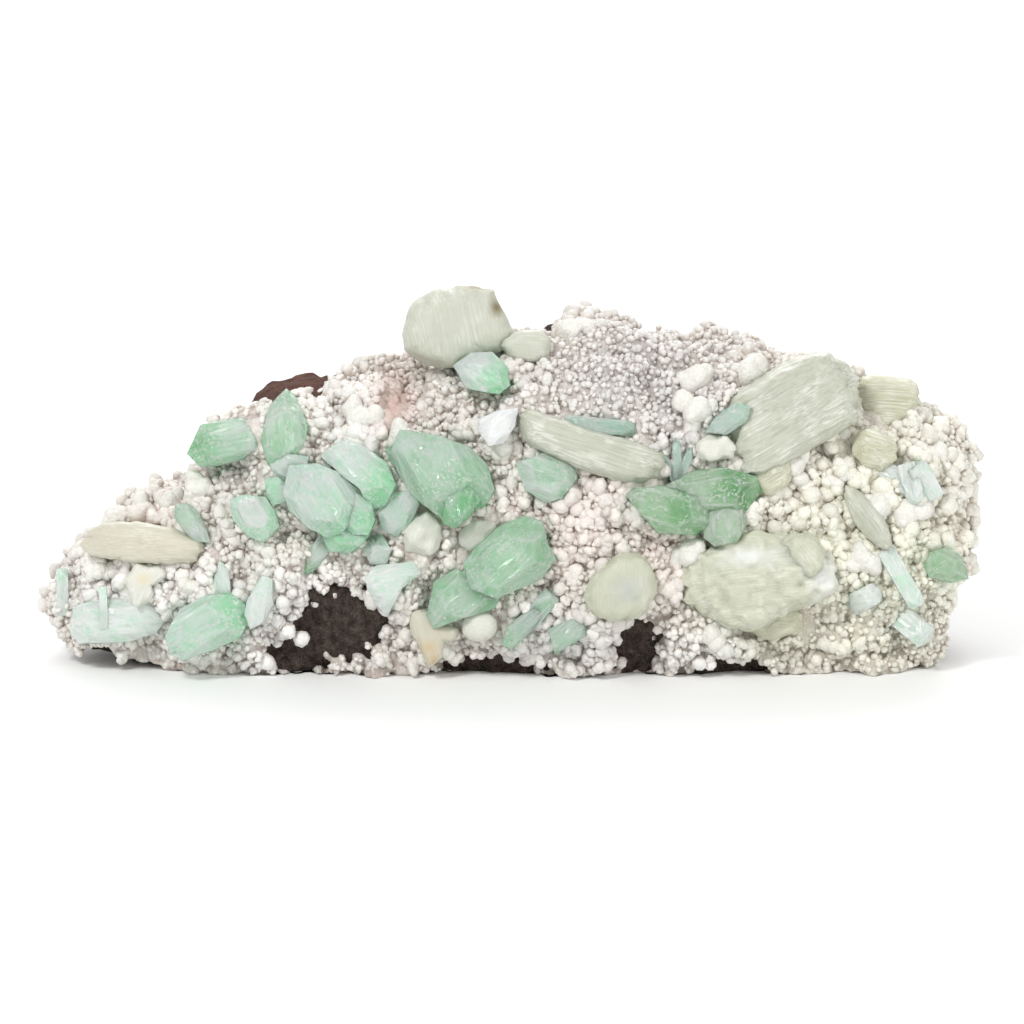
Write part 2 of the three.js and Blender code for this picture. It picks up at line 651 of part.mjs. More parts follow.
const stilbites = {
  fan_top: [
    {
      outline: [
        [-24, 77], [-23, 81.5], [-21, 83.5], [-16.5, 86.5], [-4, 86.5], [-2.5, 83],
        [1, 75.5], [-2.5, 72], [-8.5, 70], [-14, 68], [-21.5, 71], [-24, 73],
      ],
      at: [-12, 68], root: 8, height: 9,
    },
    {
      outline: [[-2.5, 74], [1.5, 77], [7, 77], [9, 74.5], [8.5, 71], [5, 69.5], [0, 70.5]],
      at: [5, 73], root: 6, height: 4.5,
    },
  ],
  blade_left: [
    {
      outline: [
        [-95.5, 30], [-93, 33], [-88, 35], [-76.5, 34], [-69, 31],
        [-67, 28], [-69, 26], [-77, 25], [-93, 26.5],
      ],
      at: [-80, 29], root: 8, height: 6, slope: [0.22, -0.1],
    },
  ],
  blade_middle: [
    {
      outline: [
        [1.5, 57.5], [4.5, 59], [10, 57.5], [18.5, 54], [27, 52], [34, 49],
        [30, 43], [23.5, 43.5], [16.5, 45.5], [9, 48.5], [3.5, 52],
      ],
      height: 6.5, slope: [0.03, -0.1],
    },
  ],
  sheaf_right: [
    {
      outline: [
        [46.5, 61], [55, 66], [61.5, 69.5], [68.5, 72], [74, 69], [77, 63.5],
        [76.5, 58], [72.5, 54], [62.5, 48], [55, 44], [50.5, 45], [48, 52],
      ],
      root: 7, height: 8.5, slope: [-0.08, -0.2],
    },
  ],
  block_right: [
    {
      outline: [
        [76.5, 66.5], [81.5, 67.5], [90.5, 66], [91, 62.5],
        [89, 59], [87.5, 56.5], [82, 54], [78, 55.5],
      ],
      root: 8, height: 6.5, slope: [0, -0.3],
    },
  ],
  disc: [
    {
      outline: [
        [16, 19], [19, 24], [24, 28], [28.5, 27.5], [31.5, 23.5],
        [32, 18.5], [29, 14.5], [22.5, 12.5], [17.5, 14.5],
      ],
      height: 6.5,
    },
  ],
  bow_low: [
    {
      outline: [
        [36.5, 22.5], [38.5, 27.5], [45.5, 30], [52.5, 32.5], [61.5, 32], [67, 27.5],
        [71.5, 23.5], [65, 18], [57.5, 12.5], [51.5, 11], [44.5, 13.5], [38, 17.5],
      ],
      height: 8.5,
    },
    {
      outline: [
        [59, 30.5], [62.5, 32.5], [67, 31], [68.5, 28],
        [68, 23.5], [64.5, 22.5], [61, 26],
      ],
      height: 9.5,
    },
  ],
  hook_left: [
    {
      at: [-84.8, 23], turn: 6, lift: 16, length: 9.4,
      widths: [2.2, 2.7, 2.2], depths: [2, 2.4, 2], raise: 1.6,
    },
    {
      at: [-83, 23.4], turn: -76, lift: 6, length: 8.4,
      widths: [2.4, 3, 2.2], depths: [2, 2.6, 2], raise: 2,
    },
  ],
  small_low: [
    {
      at: [-21.6, 12.6], turn: 4, lift: 4, length: 9.6,
      widths: [2.4, 3.3, 2.2], depths: [2, 2.8, 2], raise: 1,
    },
    {
      at: [-17.2, 12], turn: -96, lift: 8, length: 9.4,
      widths: [2, 2.7, 1.7], depths: [1.8, 2.4, 1.4], raise: 1.4,
    },
  ],
  egg_low: [
    { at: [-10.8, 11.3], turn: 5, length: 7.8, widths: [2.4, 3.3, 2.4], depths: [2, 3, 2], raise: 1.4 },
  ],
  lump_low: [
    { at: [-10.2, 29.2], turn: 42, lift: 2, length: 8, widths: [2.4, 3.2, 2.4], depths: [2, 2.8, 2] },
  ],
  lump_centre: [
    {
      at: [-20.4, 27.2], turn: 72, lift: 4, length: 9.4,
      widths: [3.4, 4.3, 3.4], depths: [2.6, 3.6, 2.6],
    },
  ],
  egg_right: [
    { outline: [[40, 50.5], [42.5, 53.5], [47, 53.5], [50, 50.5], [48, 48], [42.5, 48]], height: 4.5 },
  ],
  splinter_right: [
    {
      at: [73.3, 42.4], turn: -55, lift: 6, length: 17,
      widths: [1.6, 2.7, 1.8], depths: [1.4, 2, 1.6], raise: 0.8,
    },
  ],
  drusy_right: [
    {
      at: [75, 51.6], turn: -16, lift: 4, length: 10,
      widths: [3, 4.2, 3], depths: [2, 2.8, 2], raise: 0.6,
    },
  ],
  drusy_middle: [
    { at: [52.6, 41.6], turn: 30, lift: 2, length: 10, widths: [2.6, 3.2, 2.4], depths: [2, 2.8, 2] },
  ],
  yellow_low: [
    {
      at: [52.6, 11.8], turn: 4, lift: 2, length: 11.6,
      widths: [2.6, 3.5, 2.6], depths: [2, 2.8, 2], raise: 0.6,
    },
  ],
};

// One node's crystals as one solid, grown by a margin for the sockets of its neighbours.
const crystalSolid = (crystals, shape, grow) => joined(crystals.map((c) => solidOf(shape(c, grow))));

// The lumps that are part of the crust, as one solid grown by a margin.
const lumpSolid = (grow) =>
  joined(
    lumps.map(([across, up, radius], n) =>
      solidOf(
        new THREE.IcosahedronGeometry(radius * 1.15 + grow, 0)
          .rotateX(n)
          .rotateY(2 * n)
          .translate(...seatAt(across, up).toArray()),
      ),
    ),
  );

// ---------------------------------------------------------------- assembly

const materials = {
  basalt: new THREE.MeshStandardMaterial({ color: 0x3b2f2a, roughness: 0.9, metalness: 0 }),
  crust: new THREE.MeshStandardMaterial({ color: 0xf3ece6, roughness: 0.75, metalness: 0 }),
  stilbite: new THREE.MeshStandardMaterial({ color: 0xe6e4cf, roughness: 0.35, metalness: 0 }),
  apophyllite: new THREE.MeshStandardMaterial({ color: 0xa9dcbc, roughness: 0.12, metalness: 0 }),
};

const specimen = new THREE.Group();
specimen.position.set(centreShift.x, centreShift.y, 0);

const addNode = (name, solid, material) => {
  const mesh = new THREE.Mesh(geometryOf(largestBody(solid)), material);
  mesh.name = name;
  specimen.add(mesh);
};

addNode("basalt_matrix", rockSolid, materials.basalt);
addNode(
  "zeolite_crust",
  solidOf(crustSurface).add(lumpSolid(0)).subtract(rockSocket).subtract(ground),
  materials.crust,
);

// Each crystal keeps clear of the ground, the rock, the crust and the crystals before it.
let taken = joined([ground, rockSocket, crustSocket, lumpSolid(seatGap)]);
for (const [family, nodes, shape] of [
  ["apophyllite", apophyllites, apophylliteGeometry],
  ["stilbite", stilbites, stilbiteGeometry],
])
  for (const [name, crystals] of Object.entries(nodes)) {
    const free = crystalSolid(crystals, shape, 0).subtract(taken);
    addNode(`${family}_${name}`, free, materials[family]);
    taken = taken.add(crystalSolid(crystals, shape, seatGap));
  }

export default specimen;
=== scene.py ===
import itertools
import math

import bpy
import numpy as np
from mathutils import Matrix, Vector
from mathutils.bvhtree import BVHTree


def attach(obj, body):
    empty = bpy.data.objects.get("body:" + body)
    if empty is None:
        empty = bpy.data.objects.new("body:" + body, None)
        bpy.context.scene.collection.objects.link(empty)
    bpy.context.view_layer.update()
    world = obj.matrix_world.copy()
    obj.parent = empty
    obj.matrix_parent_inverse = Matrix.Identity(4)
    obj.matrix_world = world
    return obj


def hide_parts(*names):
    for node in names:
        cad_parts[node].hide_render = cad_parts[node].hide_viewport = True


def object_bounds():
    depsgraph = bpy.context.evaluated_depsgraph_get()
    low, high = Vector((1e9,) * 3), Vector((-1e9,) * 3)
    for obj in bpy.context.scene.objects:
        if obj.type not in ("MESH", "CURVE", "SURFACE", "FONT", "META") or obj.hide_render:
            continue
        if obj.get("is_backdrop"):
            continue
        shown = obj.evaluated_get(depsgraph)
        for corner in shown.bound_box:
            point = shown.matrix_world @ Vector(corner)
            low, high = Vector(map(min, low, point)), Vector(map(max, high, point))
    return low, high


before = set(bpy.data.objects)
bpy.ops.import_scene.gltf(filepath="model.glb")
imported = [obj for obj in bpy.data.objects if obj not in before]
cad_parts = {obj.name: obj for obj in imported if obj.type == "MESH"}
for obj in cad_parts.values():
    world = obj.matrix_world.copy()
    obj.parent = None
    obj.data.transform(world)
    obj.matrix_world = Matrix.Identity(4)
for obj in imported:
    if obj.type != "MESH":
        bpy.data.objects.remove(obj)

# Apophyllite and stilbite on a botryoidal crust over basalt.
# All tables are in millimetres, in the specimen's own frame; meshes are made in metres.

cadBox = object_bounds()
millimetre = 0.001
centreShift = np.array([0.0, 9.2, 0.0])  # the frame's origin is the middle of the whole box

print("frame loaded:", len(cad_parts), "nodes")


def hashed(i, j, k, seed):
    # one repeatable random value from 0 to 1 for each lattice cell
    s = np.sin(i * 127.1 + j * 311.7 + k * 74.7 + seed * 53.3) * 43758.5453
    return s - np.floor(s)


def balls(p, pitch, radius, seed, spread=0.0):
    # One ball lies in each cube of a lattice. The height over the surface at p is
    # sqrt(radius^2 - distance^2) for the ball that stands highest there.
    cell = np.floor(p / pitch)
    best = np.zeros(p.shape[:-1])
    for step in itertools.product((-1, 0, 1), repeat=3):
        c = [cell[..., a] + step[a] for a in range(3)]
        far = sum(((c[a] + hashed(*c, seed + a)) * pitch - p[..., a]) ** 2 for a in range(3))
        own = radius * (1 - spread * hashed(*c, seed + 3)) if spread else radius
        best = np.maximum(best, own ** 2 - far)
    return np.sqrt(best)


def cloud(p, pitch, seed):
    # smooth noise from 0 to 1: lattice values blended with eased weights along each axis
    cell = np.floor(p / pitch)
    f = p / pitch - cell
    f = f * f * (3 - 2 * f)
    total = np.zeros(p.shape[:-1])
    for corner in itertools.product((0, 1), repeat=3):
        weight = np.ones(p.shape[:-1])
        for a in range(3):
            weight = weight * (f[..., a] if corner[a] else 1 - f[..., a])
        total += weight * hashed(*[cell[..., a] + corner[a] for a in range(3)], seed)
    return total


def eased(v, low, high):
    # 0 below low, 1 above high, smooth between
    t = np.clip((v - low) / (high - low), 0, 1)
    return t * t * (3 - 2 * t)


def gridNormals(rings):
    # outward direction of a closed tube of rings: along the tube crossed with round the ring
    around = np.roll(rings, -1, axis=1) - np.roll(rings, 1, axis=1)
    along = np.gradient(rings, axis=0)
    n = np.cross(around, along)
    return n / np.maximum(np.linalg.norm(n, axis=-1, keepdims=True), 1e-9)


def tubeFaces(rows, columns):
    # quads between the rings, and a fan of triangles at each pole, all facing out
    i, j = np.meshgrid(np.arange(rows - 1), np.arange(columns), indexing="ij")
    k = (j + 1) % columns
    quads = np.stack([i * columns + j, i * columns + k, (i + 1) * columns + k, (i + 1) * columns + j], -1)
    j = np.arange(columns)
    k = (j + 1) % columns
    first = np.full(columns, rows * columns)
    last = first + 1
    end = (rows - 1) * columns
    return quads.reshape(-1, 4), np.concatenate([
        np.stack([first, k, j], -1), np.stack([last, end + j, end + k], -1)])


def tubeShell(rings, values=None):
    # vertices, quads, triangles and per-vertex values of a closed tube with a pole at each end
    poles = np.stack([rings[0].mean(0), rings[-1].mean(0)])
    vertices = np.concatenate([rings.reshape(-1, 3), poles])
    quads, fans = tubeFaces(*rings.shape[:2])
    extra = {}
    for name, v in (values or {}).items():
        flat = v.reshape(-1, *v.shape[2:])
        extra[name] = np.concatenate([flat, v[0].mean(0)[None], v[-1].mean(0)[None]])
    return vertices, quads, fans, extra


def makePiece(name, shells, material, replaces=(), crisp=None):
    # one object from several closed shells, placed in the frame in metres; edges that turn
    # by more than the crisp angle in degrees stay sharp
    corners, quads, fans, values = [], [], [], {}
    start = 0
    for vertices, fours, threes, extra in shells:
        corners.append(vertices)
        quads.append(fours + start)
        fans.append(threes + start)
        for key, v in extra.items():
            values.setdefault(key, []).append(v)
        start += len(vertices)
    corners = (np.concatenate(corners) + centreShift) * millimetre
    quads, fans = np.concatenate(quads), np.concatenate(fans)
    mesh = bpy.data.meshes.new(name)
    mesh.vertices.add(len(corners))
    mesh.vertices.foreach_set("co", corners.astype(np.float32).ravel())
    loops = np.concatenate([quads.ravel(), fans.ravel()]).astype(np.int32)
    mesh.loops.add(len(loops))
    mesh.loops.foreach_set("vertex_index", loops)
    starts = np.concatenate([np.arange(len(quads)) * 4, len(quads) * 4 + np.arange(len(fans)) * 3])
    mesh.polygons.add(len(starts))
    mesh.polygons.foreach_set("loop_start", starts.astype(np.int32))
    mesh.update(calc_edges=True)
    mesh.validate()
    mesh.polygons.foreach_set("use_smooth", np.ones(len(mesh.polygons), bool))
    for key, parts in values.items():
        v = np.concatenate(parts)
        if v.ndim == 1:
            mesh.attributes.new(key, "FLOAT", "POINT").data.foreach_set("value", v.astype(np.float32))
        else:
            rgba = np.concatenate([v, np.ones((len(v), 1))], -1).astype(np.float32)
            mesh.attributes.new(key, "FLOAT_COLOR", "POINT").data.foreach_set("color", rgba.ravel())
    if crisp:
        mesh.set_sharp_from_angle(angle=math.radians(crisp))
    mesh.materials.append(material)
    piece = bpy.data.objects.new(name, mesh)
    bpy.context.scene.collection.objects.link(piece)
    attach(piece, "root")
    if replaces:
        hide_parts(*replaces)
    print("made", name, len(mesh.polygons), "faces")


def plug(tree, node, sockets):
    # gives each socket a plain value, or links it to another node's output
    for key, value in sockets.items():
        if isinstance(value, bpy.types.NodeSocket):
            tree.links.new(value, node.inputs[key])
        else:
            node.inputs[key].default_value = value


def addNode(tree, kind, sockets=None, **settings):
    # a shader node with its settings and its input sockets
    node = tree.nodes.new("ShaderNode" + kind)
    for name, value in settings.items():
        setattr(node, name, value)
    plug(tree, node, sockets or {})
    return node


def combine(tree, operation, first, second, **settings):
    # a math node on two values
    return addNode(tree, "Math", {0: first, 1: second}, operation=operation, **settings).outputs[0]


def spanned(tree, value, low, high, atLow=0.0, atHigh=1.0):
    # from atLow where the value is low to atHigh where it is high
    sockets = {"Value": value, "From Min": low, "From Max": high, "To Min": atLow, "To Max": atHigh}
    return addNode(tree, "MapRange", sockets).outputs["Result"]


def mixValues(tree, mask, low, high):
    # low + mask * (high - low)
    return spanned(tree, mask, 0.0, 1.0, low, high)


def mixColours(tree, mask, low, high, way="MIX"):
    # low where the mask is 0 and high where it is 1; each is a colour or a socket
    low, high = ((*v, 1.0) if isinstance(v, tuple) else v for v in (low, high))
    sockets = {"Factor": mask, "A": low, "B": high}
    return addNode(tree, "Mix", sockets, data_type="RGBA", blend_type=way).outputs["Result"]


def readAttribute(tree, name, output="Fac"):
    # a value that comes with the surface's points
    return addNode(tree, "Attribute", attribute_name=name).outputs[output]


def noiseOn(tree, place, scale, detail):
    # fractal noise at a place
    return addNode(tree, "TexNoise", {"Vector": place, "Scale": scale, "Detail": detail}).outputs["Fac"]


def bumped(tree, height, strength, distance, normal=None):
    # a normal tilted by the slope of the height, which is in units of distance
    sockets = {"Height": height, "Strength": strength, "Distance": distance}
    sockets.update({"Normal": normal} if normal else {})
    return addNode(tree, "Bump", sockets).outputs["Normal"]


def newGroup(name, inputs):
    # a node group and its inputs, which have a value, or None for a vector
    group = bpy.data.node_groups.new(name, "ShaderNodeTree")
    for socket, value in inputs.items():
        kind = "NodeSocketVector" if value is None else "NodeSocketFloat"
        made = group.interface.new_socket(socket, in_out="INPUT", socket_type=kind)
        if value is not None:
            made.default_value = value
    return group, group.nodes.new("NodeGroupInput").outputs


def finishGroup(group, **outputs):
    # makes the group's outputs, each linked to what feeds it
    for name, source in outputs.items():
        kind = "NodeSocketFloat" if source.type == "VALUE" else "NodeSocketVector"
        group.interface.new_socket(name, in_out="OUTPUT", socket_type=kind)
    plug(group, group.nodes.new("NodeGroupOutput"), outputs)
    return group


def makeMottle():
    # a mask of patches: noise on Object coordinates, stretched between low and high
    group, given = newGroup("mottle", {"Scale": 300.0, "Detail": 3.0, "Low": 0.4, "High": 0.6})
    place = addNode(group, "TexCoord").outputs["Object"]
    noise = noiseOn(group, place, given["Scale"], given["Detail"])
    return finishGroup(group, Mask=spanned(group, noise, given["Low"], given["High"]))


def makeGrain():
    # a normal from two sizes of noise bump on Object coordinates
    group, given = newGroup(
        "grain", {"Coarse Scale": 600.0, "Fine Scale": 2200.0, "Strength": 0.3, "Distance": 0.0002})
    place = addNode(group, "TexCoord").outputs["Object"]
    sizes = [noiseOn(group, place, given[name], 2.0) for name in ("Coarse Scale", "Fine Scale")]
    height = combine(group, "ADD", *sizes)
    return finishGroup(group, Normal=bumped(group, height, given["Strength"], given["Distance"]))


def makeBeads():
    # round beads on Object coordinates: how high a point stands on its bead, 1 - distance^2,
    # and a mask that is 1 in the creases between the beads
    group, given = newGroup("beads", {"Scale": 1000.0})
    sockets = {"Vector": addNode(group, "TexCoord").outputs["Object"], "Scale": given["Scale"]}
    middle, edge = (addNode(group, "TexVoronoi", sockets, feature=feature).outputs["Distance"]
                    for feature in ("F1", "DISTANCE_TO_EDGE"))
    height = combine(group, "SUBTRACT", 1.0, combine(group, "MULTIPLY", middle, middle))
    return finishGroup(group, Height=height, Crease=spanned(group, edge, 0.14, 0.02))


def makeShards():
    # Angular cells on a given place: each cell tilts the surface normal its own way, normal +
    # amount * (random - 0.5), and has its own tone from 0 to 1
    group, given = newGroup("shards", {"Place": None, "Scale": 0.6, "Amount": 0.4})
    sockets = {"Vector": given["Place"], "Scale": given["Scale"]}
    random = addNode(group, "TexVoronoi", sockets, distance="CHEBYCHEV").outputs["Color"]
    way = random
    for operation, key, value in (
            ("SUBTRACT", 1, (0.5, 0.5, 0.5)), ("SCALE", "Scale", given["Amount"]),
            ("ADD", 1, addNode(group, "NewGeometry").outputs["Normal"]), ("NORMALIZE", 0, None)):
        sockets = {0: way} if value is None else {0: way, key: value}
        way = addNode(group, "VectorMath", sockets, operation=operation).outputs[0]
    tone = addNode(group, "SeparateColor", {"Color": random}).outputs["Red"]
    return finishGroup(group, Normal=way, Tone=tone)


mottleGroup = makeMottle()
grainGroup = makeGrain()
beadGroup = makeBeads()
shardGroup = makeShards()


def placeGroup(tree, group, **values):
    # a node group in a material; an underscore stands for the blank in an input's name
    sockets = {name.replace("_", " "): value for name, value in values.items()}
    return addNode(tree, "Group", sockets, node_tree=group).outputs


def mottled(tree, scale, detail, low, high):
    # the mask of the mottle group
    return placeGroup(tree, mottleGroup, Scale=scale, Detail=detail, Low=low, High=high)["Mask"]


def newMaterial(name):
    # a material and its node tree
    material = bpy.data.materials.new(name)
    material.use_nodes = True
    return material, material.node_tree


def finishMaterial(material, sockets):
    # the plain values sit on the shader's own sockets
    tree = material.node_tree
    plug(tree, tree.nodes["Principled BSDF"], sockets)
    return material


block = {
    "lean": 0.14,  # mm back per mm up
    "sectionPower": 3.2,  # over 2 squares the oval section
    "crust": 3.6,  # thickness of the crust
    "bareRim": (-47, 19, 42),  # middle x, half width, degrees
    "swell": (-50.5, 8.5, 4.0),  # middle x, half width, mm that the ridge stands higher there
    # broken rock: mm at its ridges, and share, pitch, radius and seed of the scoops
    "ridges": 4.8,
    "scoops": [(0.34, 15, 13, 5), (0.3, 6, 5, 9)],
    # low swells of the crust: share of the balls' height and mm taken off; pitch, radius, seed
    "swells": (0.75, 1.6),
    "swellBalls": (6.2, 4.4, 3),
    # x, underside z, ridge z, middle y, half depth
    "stations": np.array([
        [-102, 9, 12, -14, 3], [-98, 6.5, 16, -13, 9], [-91, 3, 24, -12, 13],
        [-82, 0, 31.5, -11, 17], [-72, -3, 35, -9, 20], [-61, -6, 42, -7, 23],
        [-55, -7, 54, -7.5, 23.5], [-48, -8, 56, -6.5, 24.5], [-40, -8, 57.5, -5.5, 25.5],
        [-30, -8, 60, -4.5, 26.5], [-18, -8, 57.5, -3.5, 27.5], [-6, -8, 60, -3.5, 28.5],
        [2, -8, 64.5, -3.5, 29.5], [8, -8, 67, -3.5, 29.5], [20, -8, 70, -3.5, 29.5],
        [32, -8, 66, -3.5, 29.5], [44, -8, 65, -3.5, 28.5], [56, -8, 63.5, -3.5, 27.5],
        [68, -8, 59, -4.5, 25.5], [80, -7, 54.5, -5.5, 23.5], [88, -5, 52, -5, 23],
        [94, 1, 48.5, -6, 20], [97, 10, 46.5, -7, 16], [98.5, 20, 43, -8, 8]], float),
    # across, up, half width, half height of the bare windows
    "windows": [(-37.5, 12.5, 9.5, 7.5), (-46.5, 5.3, 6.5, 4), (27.7, 7, 4.8, 6.5),
                (-4.6, 2.2, 11, 3), (48.2, 2, 8.4, 3)],
}

faceLean = math.radians(12)  # the display plane leans back this far
footY = -38.0
acrossAxis = np.array([1.0, 0.0, 0.0])
upAxis = np.array([0.0, math.sin(faceLean), math.cos(faceLean)])
outAxis = np.array([0.0, -math.cos(faceLean), math.sin(faceLean)])


def onPlane(across, up, out=0.0):
    # points of space from their places across, up and out of the display plane
    place = np.stack(np.broadcast_arrays(across, up, out), -1).astype(float)
    return place @ np.stack([acrossAxis, upAxis, outAxis]) + (0.0, footY, 0.0)


def upOf(p):
    # how far up the display plane a point lies
    return (p[..., 1] - footY) * upAxis[1] + p[..., 2] * upAxis[2]


def blockPoint(x, degrees):
    # oval section |cos|^n + |sin|^n = 1 at x; 0 degrees is the back, 90 the ridge, 180 the face
    under, ridge, midY, halfDepth = (
        np.interp(x, block["stations"][:, 0], block["stations"][:, c]) for c in (1, 2, 3, 4))
    angle = np.radians(degrees)
    n = block["sectionPower"]
    reach = (np.abs(np.cos(angle)) ** n + np.abs(np.sin(angle)) ** n) ** (-1 / n)
    rise = (ridge - under) / 2 * reach * np.sin(angle)
    y = midY + halfDepth * reach * np.cos(angle) + block["lean"] * rise
    return np.stack([x, y, (ridge + under) / 2 + rise], -1)


def blockNormal(x, degrees):
    # outward direction: the surface's slope round it crossed with the slope along it
    n = np.cross(blockPoint(x, degrees + 1) - blockPoint(x, degrees - 1),
                 blockPoint(x + 1, degrees) - blockPoint(x - 1, degrees))
    return n / np.linalg.norm(n, axis=-1, keepdims=True)


def roughRock(p):
    # broken rock: shallow scoops with ridges between them, and a finer grain of the same
    depth = block["ridges"]
    for share, pitch, radius, seed in block["scoops"]:
        depth = depth - share * balls(p, pitch, radius, seed)
    return depth


def rimSwell(p):
    # mm added along the normal where the ridge stands higher, at its left end
    middle, half, height = block["swell"]
    return height * np.exp(-((p[..., 0] - middle) / half) ** 2) * eased(p[..., 2], 36, 50)


def crustCover(p, x, degrees):
    # crust thickness over the block, below zero where the rock is bare
    ragged = 5 * np.sin(x * 0.23) + 4 * np.sin(x * 0.61 + 2)
    rimX, rimHalf, rimDegrees = block["bareRim"]
    rim = rimDegrees * np.clip(2 - 2 * np.abs(x - rimX) / rimHalf, 0, 1)
    overRidge = (degrees - (68 + ragged + rim)) / 14
    atFoot = (232 + ragged - degrees) / 10
    cover = block["crust"] * np.clip(np.minimum(overRidge, atFoot), -1, 1)
    up = upOf(p)
    for across, height, halfWidth, halfHeight in block["windows"]:
        wobble = 0.16 * np.sin(x * 0.9 + up * 1.3) + 0.12 * np.sin(x * 1.7 - up * 0.8)
        reach = np.hypot((x - across) / halfWidth, (up - height) / halfHeight) + wobble
        cover = np.minimum(cover, block["crust"] * np.clip((reach - 1) * 2.2, -1, 1))
    return cover


def crustOffset(p, x, degrees):
    # mm from the bare block to the crust: broken rock, cover and low swells where it is thick
    cover = crustCover(p, x, degrees)
    swell = np.clip(cover / block["crust"], 0, 1)
    share, level = block["swells"]
    return roughRock(p) + cover + swell * (share * balls(p, *block["swellBalls"]) - level)


def spokesAt(spacing):
    # angles whose spacing along the section at mid length follows [degrees, mm] pairs
    fine = np.linspace(0, 360, 3601)
    section = blockPoint(np.full_like(fine, 20.0), fine)
    step = np.linalg.norm(np.diff(section, axis=0), axis=1)
    wanted = np.interp(fine[1:], *zip(*spacing))
    count = np.concatenate([[0], np.cumsum(step / wanted)])
    return np.interp(np.linspace(0, count[-1], int(count[-1]) + 1)[:-1], count, fine)


def capRings(edge, edgeNormals, x, degrees, outward, spacing):
    # a rounded cap of shrinking rings: middle + (edge - middle) * share, their normals turning
    # outward as they shrink
    middle = edge.mean(0)
    reach = np.linalg.norm(edge - middle, axis=1).mean()
    shares = np.linspace(1, 0.04, max(3, int(reach / spacing)))[1:, None, None]
    points = middle + (edge[None] - middle) * shares
    normals = edgeNormals[None] * shares + outward * (1 - shares) * 1.4
    normals /= np.linalg.norm(normals, axis=-1, keepdims=True)
    rings = points.shape[:2]
    return points, normals, np.full(rings, x), np.broadcast_to(degrees, rings)


def blockRings(xs, degrees, capSpacing=0.0):
    # the bare block's surface as rings: points, normals, x and angles; with a cap spacing
    # both ends close with rounded caps
    x, a = np.meshgrid(xs, degrees, indexing="ij")
    points, normals = blockPoint(x, a), blockNormal(x, a)
    if not capSpacing:
        return points, normals, x, a
    before, after = (capRings(points[end], normals[end], xs[end], degrees, outward, capSpacing)
                     for end, outward in ((0, -acrossAxis), (-1, acrossAxis)))
    rings = zip(before, (points, normals, x, a), after)
    return [np.concatenate([first[::-1], v, last]) for first, v, last in rings]


def coarseCrust():
    # the CAD crust's own rings and spokes, for the rays that seat the crystals
    first, last = block["stations"][0, 0], block["stations"][-1, 0]
    spokes = np.concatenate([[0, 30, 52], 62 + 10.0 * np.arange(19), [260, 290, 325]])
    points, normals, x, a = blockRings(np.linspace(first, last, 37), spokes)
    vertices, quads, fans, _ = tubeShell(points + normals * crustOffset(points, x, a)[..., None])
    a, b, c, d = quads.T  # each cell is split as the CAD mesh splits it
    triangles = np.concatenate([np.stack([a, b, d], -1), np.stack([b, c, d], -1), fans])
    return BVHTree.FromPolygons(vertices.tolist(), triangles.tolist())


seatTree = coarseCrust()


def seatAt(across, up):
    # the crust's surface behind a place of the display plane; over the ridge line, its depth
    for below in range(15):
        hit = seatTree.ray_cast(Vector(onPlane(across, up - below, 100)), Vector(-outAxis))[0]
        if hit:
            return np.array(hit) + upAxis * below
    raise ValueError(f"no crust near {across}, {up}")


crust = {
    "spacing": 0.52,  # mm between rings
    "spokes": [(0, 8), (48, 8), (56, 0.9), (84, 0.9), (96, 0.52), (214, 0.52), (228, 0.8), (246, 0.8),
               (254, 8), (360, 8)],
    "cuts": (-42.0, 26.0),  # x where one piece of the crust ends and the next begins
    # layers of balls under the beads: pitch, radius, seed, spread of the radii
    "big": (3.6, 2.3, 21, 0.5),
    "middle": (1.9, 1.28, 31, 0.45),
    "flat": 0.75,  # share of the balls' height that stands
    "level": 1.2,  # mm taken off so that the beads' mean stays on the CAD surface
    "bed": 0.9,  # mm that the crust lies lower under a crystal
    # where it reaches further back over the ridge: middle x, half width, mm, up to which degrees
    "over": [(9, 7, 3, 120), (-47, 9, 3, 130)],
    "torn": [(2.2, 4, 71), (1.4, 1.5, 72)],  # mm, pitch and seed of its ragged edge
    "hollow": 1.4,  # mm depth of the hollows
    # beads on top: mm between them, smallest and largest radius, points round and rows of each
    "beads": [(1.62, 0.55, 1.12, 6, 3), (3.3, 1.0, 1.75, 8, 5)],
    # across, up, radius of the larger white lumps
    "lumps": [
        (-82, 37, 2.4), (-88, 35, 2), (-76, 39, 2.2), (-69, 42, 2.6), (-84, 21, 2.4),
        (-91, 24, 2.2), (-70, 20, 2), (-53, 28, 2.2), (-33, 57.5, 3), (-35, 51.5, 2.8),
        (-24, 53, 2.6), (-2, 51, 2.4), (13.6, 76.4, 3), (41, 65.5, 3), (40.5, 58.6, 3.4),
        (52.6, 67.3, 3), (62, 47, 3), (73, 45, 2.4), (80.9, 38.1, 2.6), (87.1, 36.9, 3.2),
        (92, 49, 2.6), (97, 41, 2.4), (76.8, 26.2, 2.6), (39.2, 28.2, 3.2), (18.6, 11.4, 1.6),
        (44, 10, 2.6), (-15, 6.5, 2.2), (7, 41, 2.2),
    ],
}

